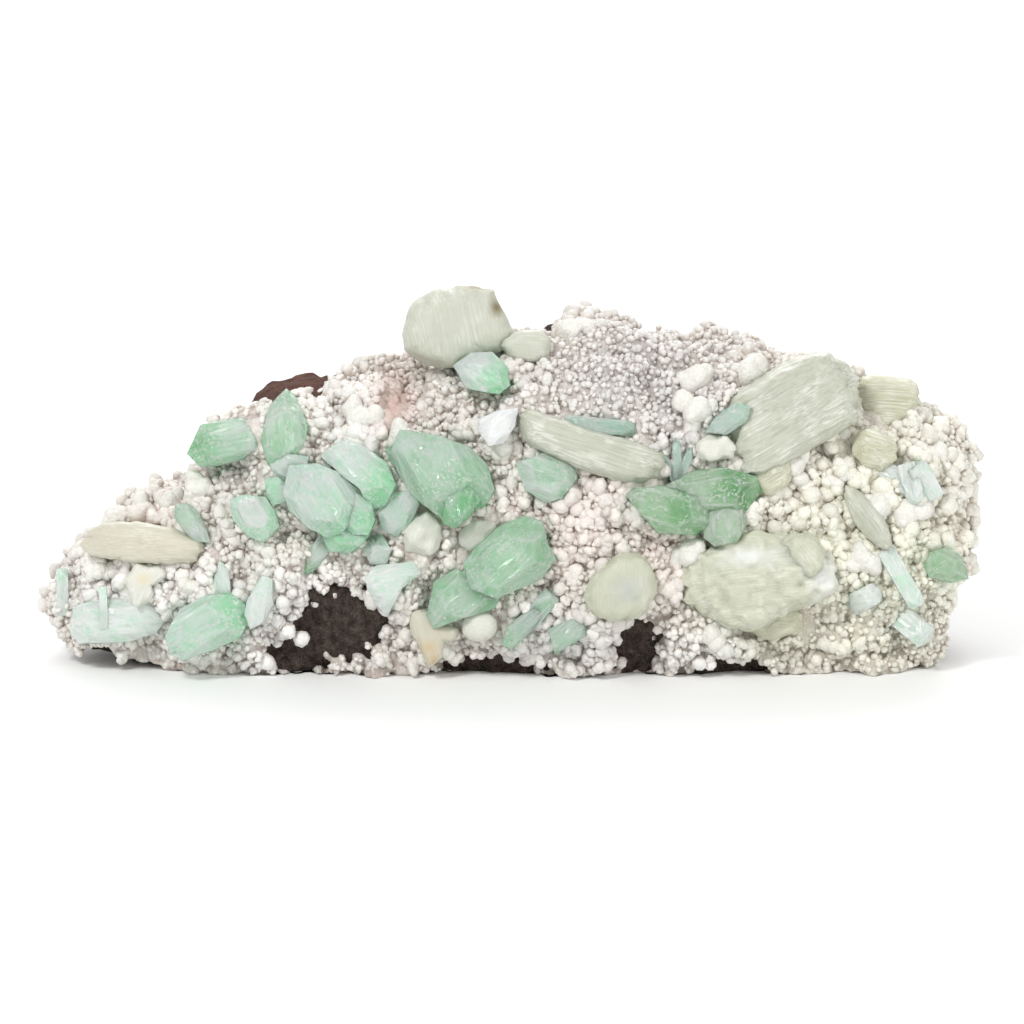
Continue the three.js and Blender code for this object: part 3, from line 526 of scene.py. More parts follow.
# across, up, half width, half height of zones on the crust, each fading out smoothly
crustZones = {
    "fine": [(28, 66, 24, 13), (-64, 46, 8, 4.5), (-56, 45, 6, 4), (16, 52, 12, 7), (90, 10, 12, 8),
             (-19, 58, 5, 5), (70, 12, 16, 6)],
    "coarse": [(76, 40, 24, 16), (-88, 34, 9, 7), (-33, 56, 8, 8), (62, 20, 10, 9), (20, 38, 12, 7)],
    "pink": [(-26.5, 60, 4.5, 8), (-76, 38, 7, 4), (22, 44, 10, 5), (10, 32, 14, 9), (58, 62, 8, 4),
             (34, 26, 8, 9)],
    "grey": [(28, 68, 24, 13), (-64, 46, 8, 4), (14, 8, 16, 5), (38, 60, 12, 14)],
    "cream": [(80, 28, 26, 34), (56, 10, 18, 10)],
    "rose": [(-25.5, 60.5, 4, 6.5), (-24, 52.5, 2.4, 3)],
    "white": [(-52, 12, 24, 12), (-82, 20, 22, 9), (-33, 56, 9, 9), (42, 6, 12, 6)],
    "hollow": [(-26.2, 60, 3.8, 7.5), (-24.5, 53, 2.8, 4)],
    "bare": [(-90, 6.8, 5, 2.2), (-81, 5, 6, 2.2)],  # rock shows under the crust's lower edge
}

crustColours = {
    "base": (0.83, 0.80, 0.75),
    "white": (0.89, 0.885, 0.865),
    "cream": (0.87, 0.875, 0.735),
    "grey": (0.76, 0.745, 0.73),
    "pink": (0.87, 0.76, 0.72),
    "rose": (0.62, 0.45, 0.40),
    "lump": (0.80, 0.79, 0.735),
    # painted shade at the foot of each bead and lump
    "foot": (0.60, 0.50, 0.45),  # times the bead's own colour
    # painted shade in the creases between the beads, brown, grey or cream by zone
    "creviceShade": (0.36, 0.27, 0.22),
    "creviceShadeGrey": (0.31, 0.28, 0.26),
    "creviceShadeCream": (0.34, 0.32, 0.23),
}


def zoneMask(p, zones):
    # highest of the zones' bell curves at each point
    across, up = p[..., 0], upOf(p)
    mask = np.zeros(p.shape[:-1])
    for a, u, halfWidth, halfHeight in zones:
        bell = np.exp(-((across - a) / halfWidth) ** 2 - ((up - u) / halfHeight) ** 2)
        mask = np.maximum(mask, bell)
    return mask


def crustRelief(p):
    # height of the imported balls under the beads, how deep in a crease each point lies, and the
    # mask of the fine grained zones
    fine, coarse = zoneMask(p, crustZones["fine"]), zoneMask(p, crustZones["coarse"])
    smooth = 1 - zoneMask(p, crustZones["hollow"])
    share = np.clip(0.1 + 1.2 * cloud(p, 9, 77) - 1.3 * fine + 0.6 * coarse, 0, 1.05)
    big = balls(p, *crust["big"]) * share
    middle = balls(p, *crust["middle"]) * (1 - 0.45 * fine)
    relief = np.maximum(big, middle)
    return crust["flat"] * relief * smooth, (1 - eased(relief, 0.3, 1.3)) * smooth, fine


def bedMask(p):
    # 1 under the crystals, fading out within a millimetre round them. The distance to an outline
    # is the largest distance to one of its sides' lines; a small crystal counts from its axis.
    across, up = p[..., 0], upOf(p)
    mask = np.zeros(p.shape[:-1])
    for c in itertools.chain(*apophyllites.values(), *stilbites.values()):
        if "outline" in c:
            corners = np.array(c["outline"], float)
            sides = np.roll(corners, -1, axis=0) - corners
            outside = np.full(p.shape[:-1], -1e3)
            for (a, u), (da, du) in zip(corners, sides):
                distance = ((up - u) * da - (across - a) * du) / math.hypot(da, du)
                outside = np.maximum(outside, distance)
            mask = np.maximum(mask, 1 - eased(outside, -0.9, 0.3))
        else:
            turned, origin = turnedFrame(c)
            along = np.clip((p - origin) @ turned[2], 0, c["length"])
            away = np.linalg.norm(p - origin - along[..., None] * turned[2], axis=-1)
            width = c["half"] if "half" in c else max(c["widths"])
            mask = np.maximum(mask, 1 - eased(away - width, -0.6, 0.3))
    return mask


def crustShade(p, crease):
    # colour from the zones, with painted shade darkening the creases, each bead a little different
    colour = np.ones((*p.shape[:-1], 3)) * crustColours["base"]
    for zone, strength in (("cream", 0.85), ("grey", 0.8), ("white", 0.8), ("pink", 0.6), ("rose", 0.9)):
        mask = (strength * zoneMask(p, crustZones[zone]))[..., None]
        colour = colour * (1 - mask) + mask * np.array(crustColours[zone])
    colour = np.clip(colour * (0.9 + 0.2 * cloud(p, 1.7, 87))[..., None], 0, 1)
    dark = np.ones_like(colour) * crustColours["creviceShade"]
    for zone, name in (("grey", "creviceShadeGrey"), ("cream", "creviceShadeCream")):
        mask = zoneMask(p, crustZones[zone])[..., None]
        dark = dark * (1 - mask) + mask * np.array(crustColours[name])
    # painted shade: the creases darken towards the crevice shade colours, more in some places than others
    stain = (crease * (0.15 + 0.6 * cloud(p, 6, 83)))[..., None]
    return colour * (1 - stain) + dark * stain


def scattered(points, wanted, pitch, seed):
    # numbers of the wanted points, one in each cube of a lattice, picked by a seeded shuffle
    picked = np.random.default_rng(seed).permutation(np.flatnonzero(wanted))
    cell = np.floor(points[picked] / pitch).astype(int)
    return picked[np.unique(cell, axis=0, return_index=True)[1]]


def ballShell(centres, normals, radii, spokes, rows, colours):
    # Closed lumpy balls, pole to pole along the normals: centre + radius * (0.72 + 0.65 noise)
    # * (side sin t cos a + third sin t sin a + normal cos t), each arm a little longer or shorter.
    # Their feet are painted darker, as shade.
    t = np.linspace(math.pi, 0, rows + 2)[1:-1, None]
    a = np.arange(spokes) * 2 * math.pi / spokes
    unit = np.stack([np.sin(t) * np.cos(a), np.sin(t) * np.sin(a), np.cos(t) + 0 * a], -1).reshape(-1, 3)
    unit = np.concatenate([unit, [(0, 0, -1), (0, 0, 1)]])
    side = np.cross(normals, (0.31, 0.87, 0.38))
    side /= np.linalg.norm(side, axis=-1, keepdims=True)
    frames = np.stack([side, np.cross(normals, side), normals], 1)
    stretch = np.stack([hashed(*centres.T, 14 + k) for k in range(3)], 1)
    frames = frames * (0.8 + 0.45 * stretch)[..., None]
    arms = np.einsum("vk,nkc->nvc", unit, frames) * radii[:, None, None]
    lumpy = 0.72 + 0.65 * cloud(centres[:, None] + arms, radii.mean() * 1.2, 45)
    vertices = centres[:, None] + arms * lumpy[..., None]
    vertices[..., 2] = np.maximum(vertices[..., 2], 0.0)  # none reaches below the foot
    start = np.arange(len(centres))[:, None, None] * len(unit)
    quads, fans = (faces[None] + start for faces in tubeFaces(rows, spokes))
    # painted shade: each ball is lighter at its top and darker towards its foot
    lit = (0.35 + 0.65 * eased(unit[:, 2], -0.2, 0.6))[None, :, None]
    dark = colours[:, None] * np.array(crustColours["foot"])
    shade = dark + (colours[:, None] - dark) * lit
    count = len(centres) * len(unit)
    return (vertices.reshape(-1, 3), quads.reshape(-1, 4), fans.reshape(-1, 3),
            {"shade": shade.reshape(-1, 3), "fine": np.zeros(count), "bead": np.ones(count)})


def lumpShells():
    # the larger white lumps: each a ball with three smaller ones grown on its sides
    across, up, radius = np.array(crust["lumps"]).T
    seats = np.array([seatAt(a, u) for a, u in zip(across, up)])
    centres, radii = [seats], [radius]
    for n in range(3):
        turn = 2.1 * n + 6.28 * hashed(across, up, 0, 5)
        reach = radius * (0.75 + 0.3 * hashed(across, up, n, 6))
        aside = acrossAxis * (reach * np.cos(turn))[:, None] + upAxis * (reach * np.sin(turn))[:, None]
        centres.append(seats + aside)
        radii.append(radius * (0.5 + 0.3 * hashed(across, up, n, 7)))
    centres, radii = np.concatenate(centres), np.concatenate(radii)
    colours = np.ones((len(radii), 3)) * crustColours["lump"]
    normals = np.broadcast_to(outAxis, centres.shape)
    return centres, ballShell(centres, normals, radii, 14, 9, colours)


def beadShells(surface, normals, cover, fine):
    # small beads all over the crust and larger ones where it is coarse; none under a crystal
    free = (cover > 0.9) & (bedMask(surface) < 0.25) & (zoneMask(surface, crustZones["hollow"]) < 0.45)
    coarse = zoneMask(surface, crustZones["coarse"])
    shells = []
    for n, (pitch, smallest, largest, spokes, rows) in enumerate(crust["beads"]):
        wanted = free if n == 0 else free & (cloud(surface, 7, 46) + 0.5 * coarse - 0.6 * fine > 0.5)
        picked = scattered(surface, wanted, pitch, 8 + n)
        at, out = surface[picked], normals[picked]
        size = smallest + (largest - smallest) * hashed(*at.T, 9) ** 1.4
        size = size * (1 - 0.15 * fine[picked]) * (1 + 0.25 * coarse[picked])
        kept = at[:, 2] > size
        at, out, size = at[kept], out[kept], size[kept]
        bright = (0.9 + 0.14 * hashed(*at.T, 11))[:, None]
        colours = np.clip(crustShade(at, np.zeros(len(at))) * bright, 0, 1)
        shells.append((at, ballShell(at + out * (0.15 * size)[:, None], out, size, spokes, rows, colours)))
    return shells


def partOf(centres, shell, low, high):
    # the balls of a shell whose centres lie between two x
    vertices, quads, fans, extra = shell
    each = len(vertices) // len(centres)
    kept = np.flatnonzero((centres[:, 0] >= low) & (centres[:, 0] < high))
    shift = (kept - np.arange(len(kept)))[:, None, None] * each

    def rows(v):
        return v.reshape(len(centres), -1, *v.shape[1:])[kept]

    return (rows(vertices).reshape(-1, 3), (rows(quads) - shift).reshape(-1, 4),
            (rows(fans) - shift).reshape(-1, 3),
            {key: rows(v).reshape(-1, *v.shape[1:]) for key, v in extra.items()})


crustFinish = {
    "beadScales": (560.0, 1500.0),  # cells to a metre, of the large and the small beads
    # scale, detail, low and high of the mottle
    "broad": (170.0, 2.0, 0.35, 0.65),
    "patches": (900.0, 3.0, 0.5, 0.7),
    # strength of the painted crease shade where the crust is coarse and where it is fine
    "largeCrease": (0.75, 0.1),
    "smallCrease": (0.4, 0.65),
    # strength of the painted crease shade and of the swelling, on the crust and on the separate beads
    "beadCrease": (0.8, 0.22),
    "beadSwell": (0.8, 0.15),
    "smallSwell": 0.45,
    # painted shade in the creases between the beads
    "creaseShade": (0.55, 0.47, 0.42),  # times the colour
    "bright": 0.25,
    "brightColour": (0.92, 0.905, 0.885),
    "rough": (0.6, 0.4),  # outside the bright patches and in them
}


def crustMaterial():
    # white to cream zeolite: the colour comes with the surface; two sizes of beads swell on it
    # and thin brown painted shade lies in the creases between them
    look = crustFinish
    material, tree = newMaterial("crust")
    large, small = (placeGroup(tree, beadGroup, Scale=scale) for scale in look["beadScales"])
    fine, bead = (readAttribute(tree, name) for name in ("fine", "bead"))
    patches = mottled(tree, *look["patches"])
    creases = [combine(tree, "MULTIPLY", group["Crease"], mixValues(tree, fine, *share))
               for group, share in ((large, look["largeCrease"]), (small, look["smallCrease"]))]
    crease = combine(tree, "MAXIMUM", *creases)
    for mask, share in ((mottled(tree, *look["broad"]), (0.35, 1.0)), (bead, look["beadCrease"])):
        crease = combine(tree, "MULTIPLY", crease, mixValues(tree, mask, *share))
    # painted shade: the creases multiply the colour by a brown shade
    colour = mixColours(tree, crease, readAttribute(tree, "shade", "Color"), look["creaseShade"], "MULTIPLY")
    colour = mixColours(tree, mixValues(tree, patches, 0.0, look["bright"]), colour, look["brightColour"])
    swell = combine(tree, "MULTIPLY", large["Height"], mixValues(tree, bead, *look["beadSwell"]))
    height = combine(tree, "ADD", swell, combine(tree, "MULTIPLY", small["Height"], look["smallSwell"]))
    return finishMaterial(material, {
        "Base Color": colour, "Roughness": mixValues(tree, patches, *look["rough"]),
        "Specular IOR Level": 0.35, "Normal": bumped(tree, height, 0.6, 0.0006)})


def makeCrust():
    # the whole tube of rings, parted at the cuts, each part closed with a fan at its ends; the
    # beads and lumps of each part are a second piece
    first, last = block["stations"][0, 0], block["stations"][-1, 0]
    xs = np.linspace(first, last, int((last - first) / crust["spacing"]))
    points, normals, x, a = blockRings(xs, spokesAt(crust["spokes"]), crust["spacing"] * 1.2)
    cover = crustCover(points, x, a)
    for middle, half, more, limit in crust["over"]:
        cover = cover + more * np.exp(-((x - middle) / half) ** 2) * (a < limit)
    coarse = points + normals * (crustOffset(points, x, a) + rimSwell(points))[..., None]
    relief, crease, fine = crustRelief(coarse)
    ragged = sum(size * (cloud(coarse, pitch, seed) - 0.5) for size, pitch, seed in crust["torn"])
    cover = cover + ragged * (cover < 3) - 8 * zoneMask(points, crustZones["bare"]) * (a > 180)
    swell = np.clip(cover / 2 + 0.1, -0.6, 1)
    hollow = crust["hollow"] * zoneMask(coarse, crustZones["hollow"])
    level = crust["level"] * (1 - np.clip(hollow, 0, 1))
    height = np.where(swell > 0, swell * (relief - level - hollow), 1.6 * swell)
    height = height - bedMask(coarse) * (height + crust["bed"])
    rings = coarse + normals * height[..., None]
    rings[..., 2] = np.maximum(rings[..., 2], 0.0)
    values = {"shade": crustShade(coarse, crease), "fine": fine, "bead": np.zeros(fine.shape)}
    material = crustMaterial()
    borders = [0] + [int(np.argmax(x[:, 0] >= cut)) for cut in crust["cuts"]] + [len(rings) - 1]
    flat = [v.reshape(-1, *v.shape[2:]) for v in (rings, normals, cover, fine)]
    grown = [*beadShells(*flat), lumpShells()]
    edges = [-200.0, *crust["cuts"], 200.0]
    for n, side in enumerate(("left", "middle", "right")):
        part = slice(borders[n], borders[n + 1] + 1)
        shell = tubeShell(rings[part], {key: v[part] for key, v in values.items()})
        makePiece("crust_" + side, [shell], material, ("zeolite_crust",) if n == 1 else (), 85)
        shells = [partOf(*ball, edges[n], edges[n + 1]) for ball in grown]
        makePiece("crust_beads_" + side, shells, material)


basalt = {
    "spacing": 1.2,  # mm between rings
    "spokes": [(0, 1.2), (110, 1.2), (130, 2), (190, 1), (206, 0.5), (232, 0.5), (250, 1.3), (290, 1.4),
               (310, 1.2), (360, 1.2)],
    "grit": 0.55,  # mm of fine roughness
    "vesicle": (4.6, 1.2),  # mm between gas holes, and their radius
    "dark": (0.036, 0.026, 0.021),
    "brown": (0.13, 0.095, 0.078),
    "red": (0.17, 0.075, 0.052),
    "dust": (0.20, 0.165, 0.135),
    # scale, detail, low and high of the mottle
    "broad": (520.0, 10.0, 0.36, 0.72),
    "specks": (1300.0, 2.0, 0.66, 0.76),
}


def rockSurface(p):
    # the CAD rock, with grit and small round gas holes sunk into it
    pitch, radius = basalt["vesicle"]
    grit = (cloud(p, 2.3, 51) - 0.5) + 0.7 * (cloud(p, 1.1, 52) - 0.5)
    return roughRock(p) + basalt["grit"] * grit - 0.8 * balls(p, pitch, radius, 61, 0.7)


def basaltMaterial():
    # dark brown rock with a few paler specks, reddish where the rim is weathered
    material, tree = newMaterial("basalt")
    specks = mottled(tree, *basalt["specks"])
    body = mixColours(tree, mottled(tree, *basalt["broad"]), basalt["dark"], basalt["brown"])
    body = mixColours(tree, readAttribute(tree, "weathered"), body, basalt["red"])
    body = mixColours(tree, mixValues(tree, specks, 0.0, 0.6), body, basalt["dust"])
    grain = placeGroup(tree, grainGroup, Coarse_Scale=450.0, Fine_Scale=1600.0, Strength=1.0, Distance=0.002)
    return finishMaterial(material, {
        "Base Color": body, "Roughness": mixValues(tree, specks, 0.92, 0.6), "Specular IOR Level": 0.3,
        "Normal": grain["Normal"]})


def makeBasalt():
    # one closed tube of rings, weathered on the ridge where the rim is bare
    first, last = block["stations"][0, 0], block["stations"][-1, 0]
    xs = np.linspace(first, last, int((last - first) / basalt["spacing"]))
    points, normals, x, _ = blockRings(xs, spokesAt(basalt["spokes"]), 1.3)
    rings = points + normals * (rockSurface(points) + rimSwell(points))[..., None]
    rings[..., 2] = np.maximum(rings[..., 2], 0.0)
    rimX, rimHalf, _ = block["bareRim"]
    weathered = np.exp(-((x - rimX) / rimHalf) ** 2) * eased(points[..., 2], 40, 56)
    weathered = weathered * (0.4 + 0.6 * cloud(points, 4, 91))
    makePiece("basalt", [tubeShell(rings, {"weathered": weathered})], basaltMaterial(),
              ("basalt_matrix",))


def turnedFrame(c):
    # rows are the crystal's x, y and z axes; z is turned in the display plane and lifted out
    t, l, r = (math.radians(c.get(k, 0)) for k in ("turn", "lift", "roll"))
    axis = (acrossAxis * math.cos(t) + upAxis * math.sin(t)) * math.cos(l) + outAxis * math.sin(l)
    side = -acrossAxis * math.sin(t) + upAxis * math.cos(t)
    third = np.cross(axis, side)
    turned = [side * math.cos(r) + third * math.sin(r), third * math.cos(r) - side * math.sin(r), axis]
    origin = seatAt(*c["at"]) - axis * c.get("sink", 0) + outAxis * c.get("out", 0)
    return np.stack(turned), origin


def rimOf(outline, spacing, jag=0.0, seed=0, rounded=False):
    # the outline's corners and points between them, counter-clockwise, and a little jagged;
    # rounded cuts each corner off at a sixth of its sides
    corners = np.array(outline, float)[::-1]
    if rounded:
        after = np.roll(corners, -1, axis=0)
        corners = np.stack([0.84 * corners + 0.16 * after, 0.16 * corners + 0.84 * after], 1).reshape(-1, 2)
    sides = []
    for start, end in zip(corners, np.roll(corners, -1, axis=0)):
        count = max(2, int(round(np.linalg.norm(end - start) / spacing)))
        sides.append(start + (end - start) * (np.arange(count) / count)[:, None])
    rim = np.concatenate(sides)
    place = np.concatenate([rim, np.full((len(rim), 1), seed * 7.7)], -1)
    shake = np.stack([cloud(place, 1.5, 61), cloud(place, 1.5, 62)], -1) - 0.5
    return rim + shake * 2 * jag


def levelRows(levels, radius, spacing):
    # rows of height and share at the levels, and about one spacing apart between them; the part
    # below the seat is coarse because the crust hides it
    rows = [np.array(levels[:1], float)]
    for low, high in zip(levels, levels[1:]):
        low, high = np.array(low, float), np.array(high, float)
        reach = math.hypot(high[0] - low[0], (high[1] - low[1]) * radius)
        step = spacing * (4 if high[0] <= 0 else 1)
        count = max(1, int(round(reach / step)))
        rows.append(low + (high - low) * (np.arange(1, count + 1) / count)[:, None])
    return np.concatenate(rows)


def outlineRings(c, levels, spacing, jag, seed, rounded=False):
    # Shrinking copies of the outline, stacked out of the display plane. Each row is at
    # centre + arm * share, and its depth is the seat's + height + slope . arm.
    corners = np.array(c["outline"], float)
    centre = corners.mean(0)
    radius = np.linalg.norm(corners - centre, axis=1).mean()
    arms = rimOf(c["outline"], spacing, jag, seed, rounded) - centre
    rows = levelRows(levels, radius, spacing)
    height, share = rows[:, 0, None], rows[:, 1, None]
    seat = (seatAt(*c.get("at", centre)) - onPlane(0, 0)) @ outAxis + c.get("out", 0)
    across = centre[0] + arms[:, 0] * share
    up = centre[1] + arms[:, 1] * share
    out = seat + height + (arms @ c.get("slope", (0, 0))) * share
    return np.stack([across, up, out], -1), centre, radius, np.broadcast_to(height, out.shape)


def turnedPlace(local, centre, degrees):
    # places in the display plane along a direction and across it, measured from the centre
    t = math.radians(degrees)
    along = (local[..., 0] - centre[0]) * math.cos(t) + (local[..., 1] - centre[1]) * math.sin(t)
    side = (local[..., 1] - centre[1]) * math.cos(t) - (local[..., 0] - centre[0]) * math.sin(t)
    return along, side


apophyllite = {
    "spacing": 0.5,  # mm between grid lines
    "edge": 42,  # power of the soft minimum that rounds the edges of the small prisms
    "chamfer": 0.22,
    # degrees from the turn, start as a share of the way to the outline, slope of each face
    "faces": [(-36, 0.5, 0.8), (36, 0.5, 0.8), (90, 0.55, 1.1), (-90, 0.55, 1.1), (150, 0.65, 0.7),
              (210, 0.65, 0.7)],
    "terrace": 0.05,  # mm height of one growth step
    "striation": 0.05,
    "chip": 0.35,
    "jag": 0.08,  # mm that the outline is broken
    "root": 2.5,  # mm that a small prism reaches below its seat
    "crisp": 38,  # edges that turn by more degrees stay sharp
    "shards": (0.5, 1.7),  # scales of the large and the small ones
    "tilt": 0.4,  # of the large shards
    # scale, detail, low and high of the mottle
    "greener": (330.0, 3.0, 0.5, 0.66),
    "clouds": (150.0, 4.0, 0.42, 0.62),
    # painted glints: scattered small white flecks
    "paintedGlints": [(1500.0, 3.0, 0.54, 0.6), (240.0, 3.0, 0.44, 0.54)],
    "white": (0.97, 1.0, 0.985),  # painted glints, painted highlights on the edges and painted reflection on some front faces
    "rough": (0.02, 0.2),
    "ior": 1.535,
    "inside": 0.0012,  # m that light spreads in the milk
}
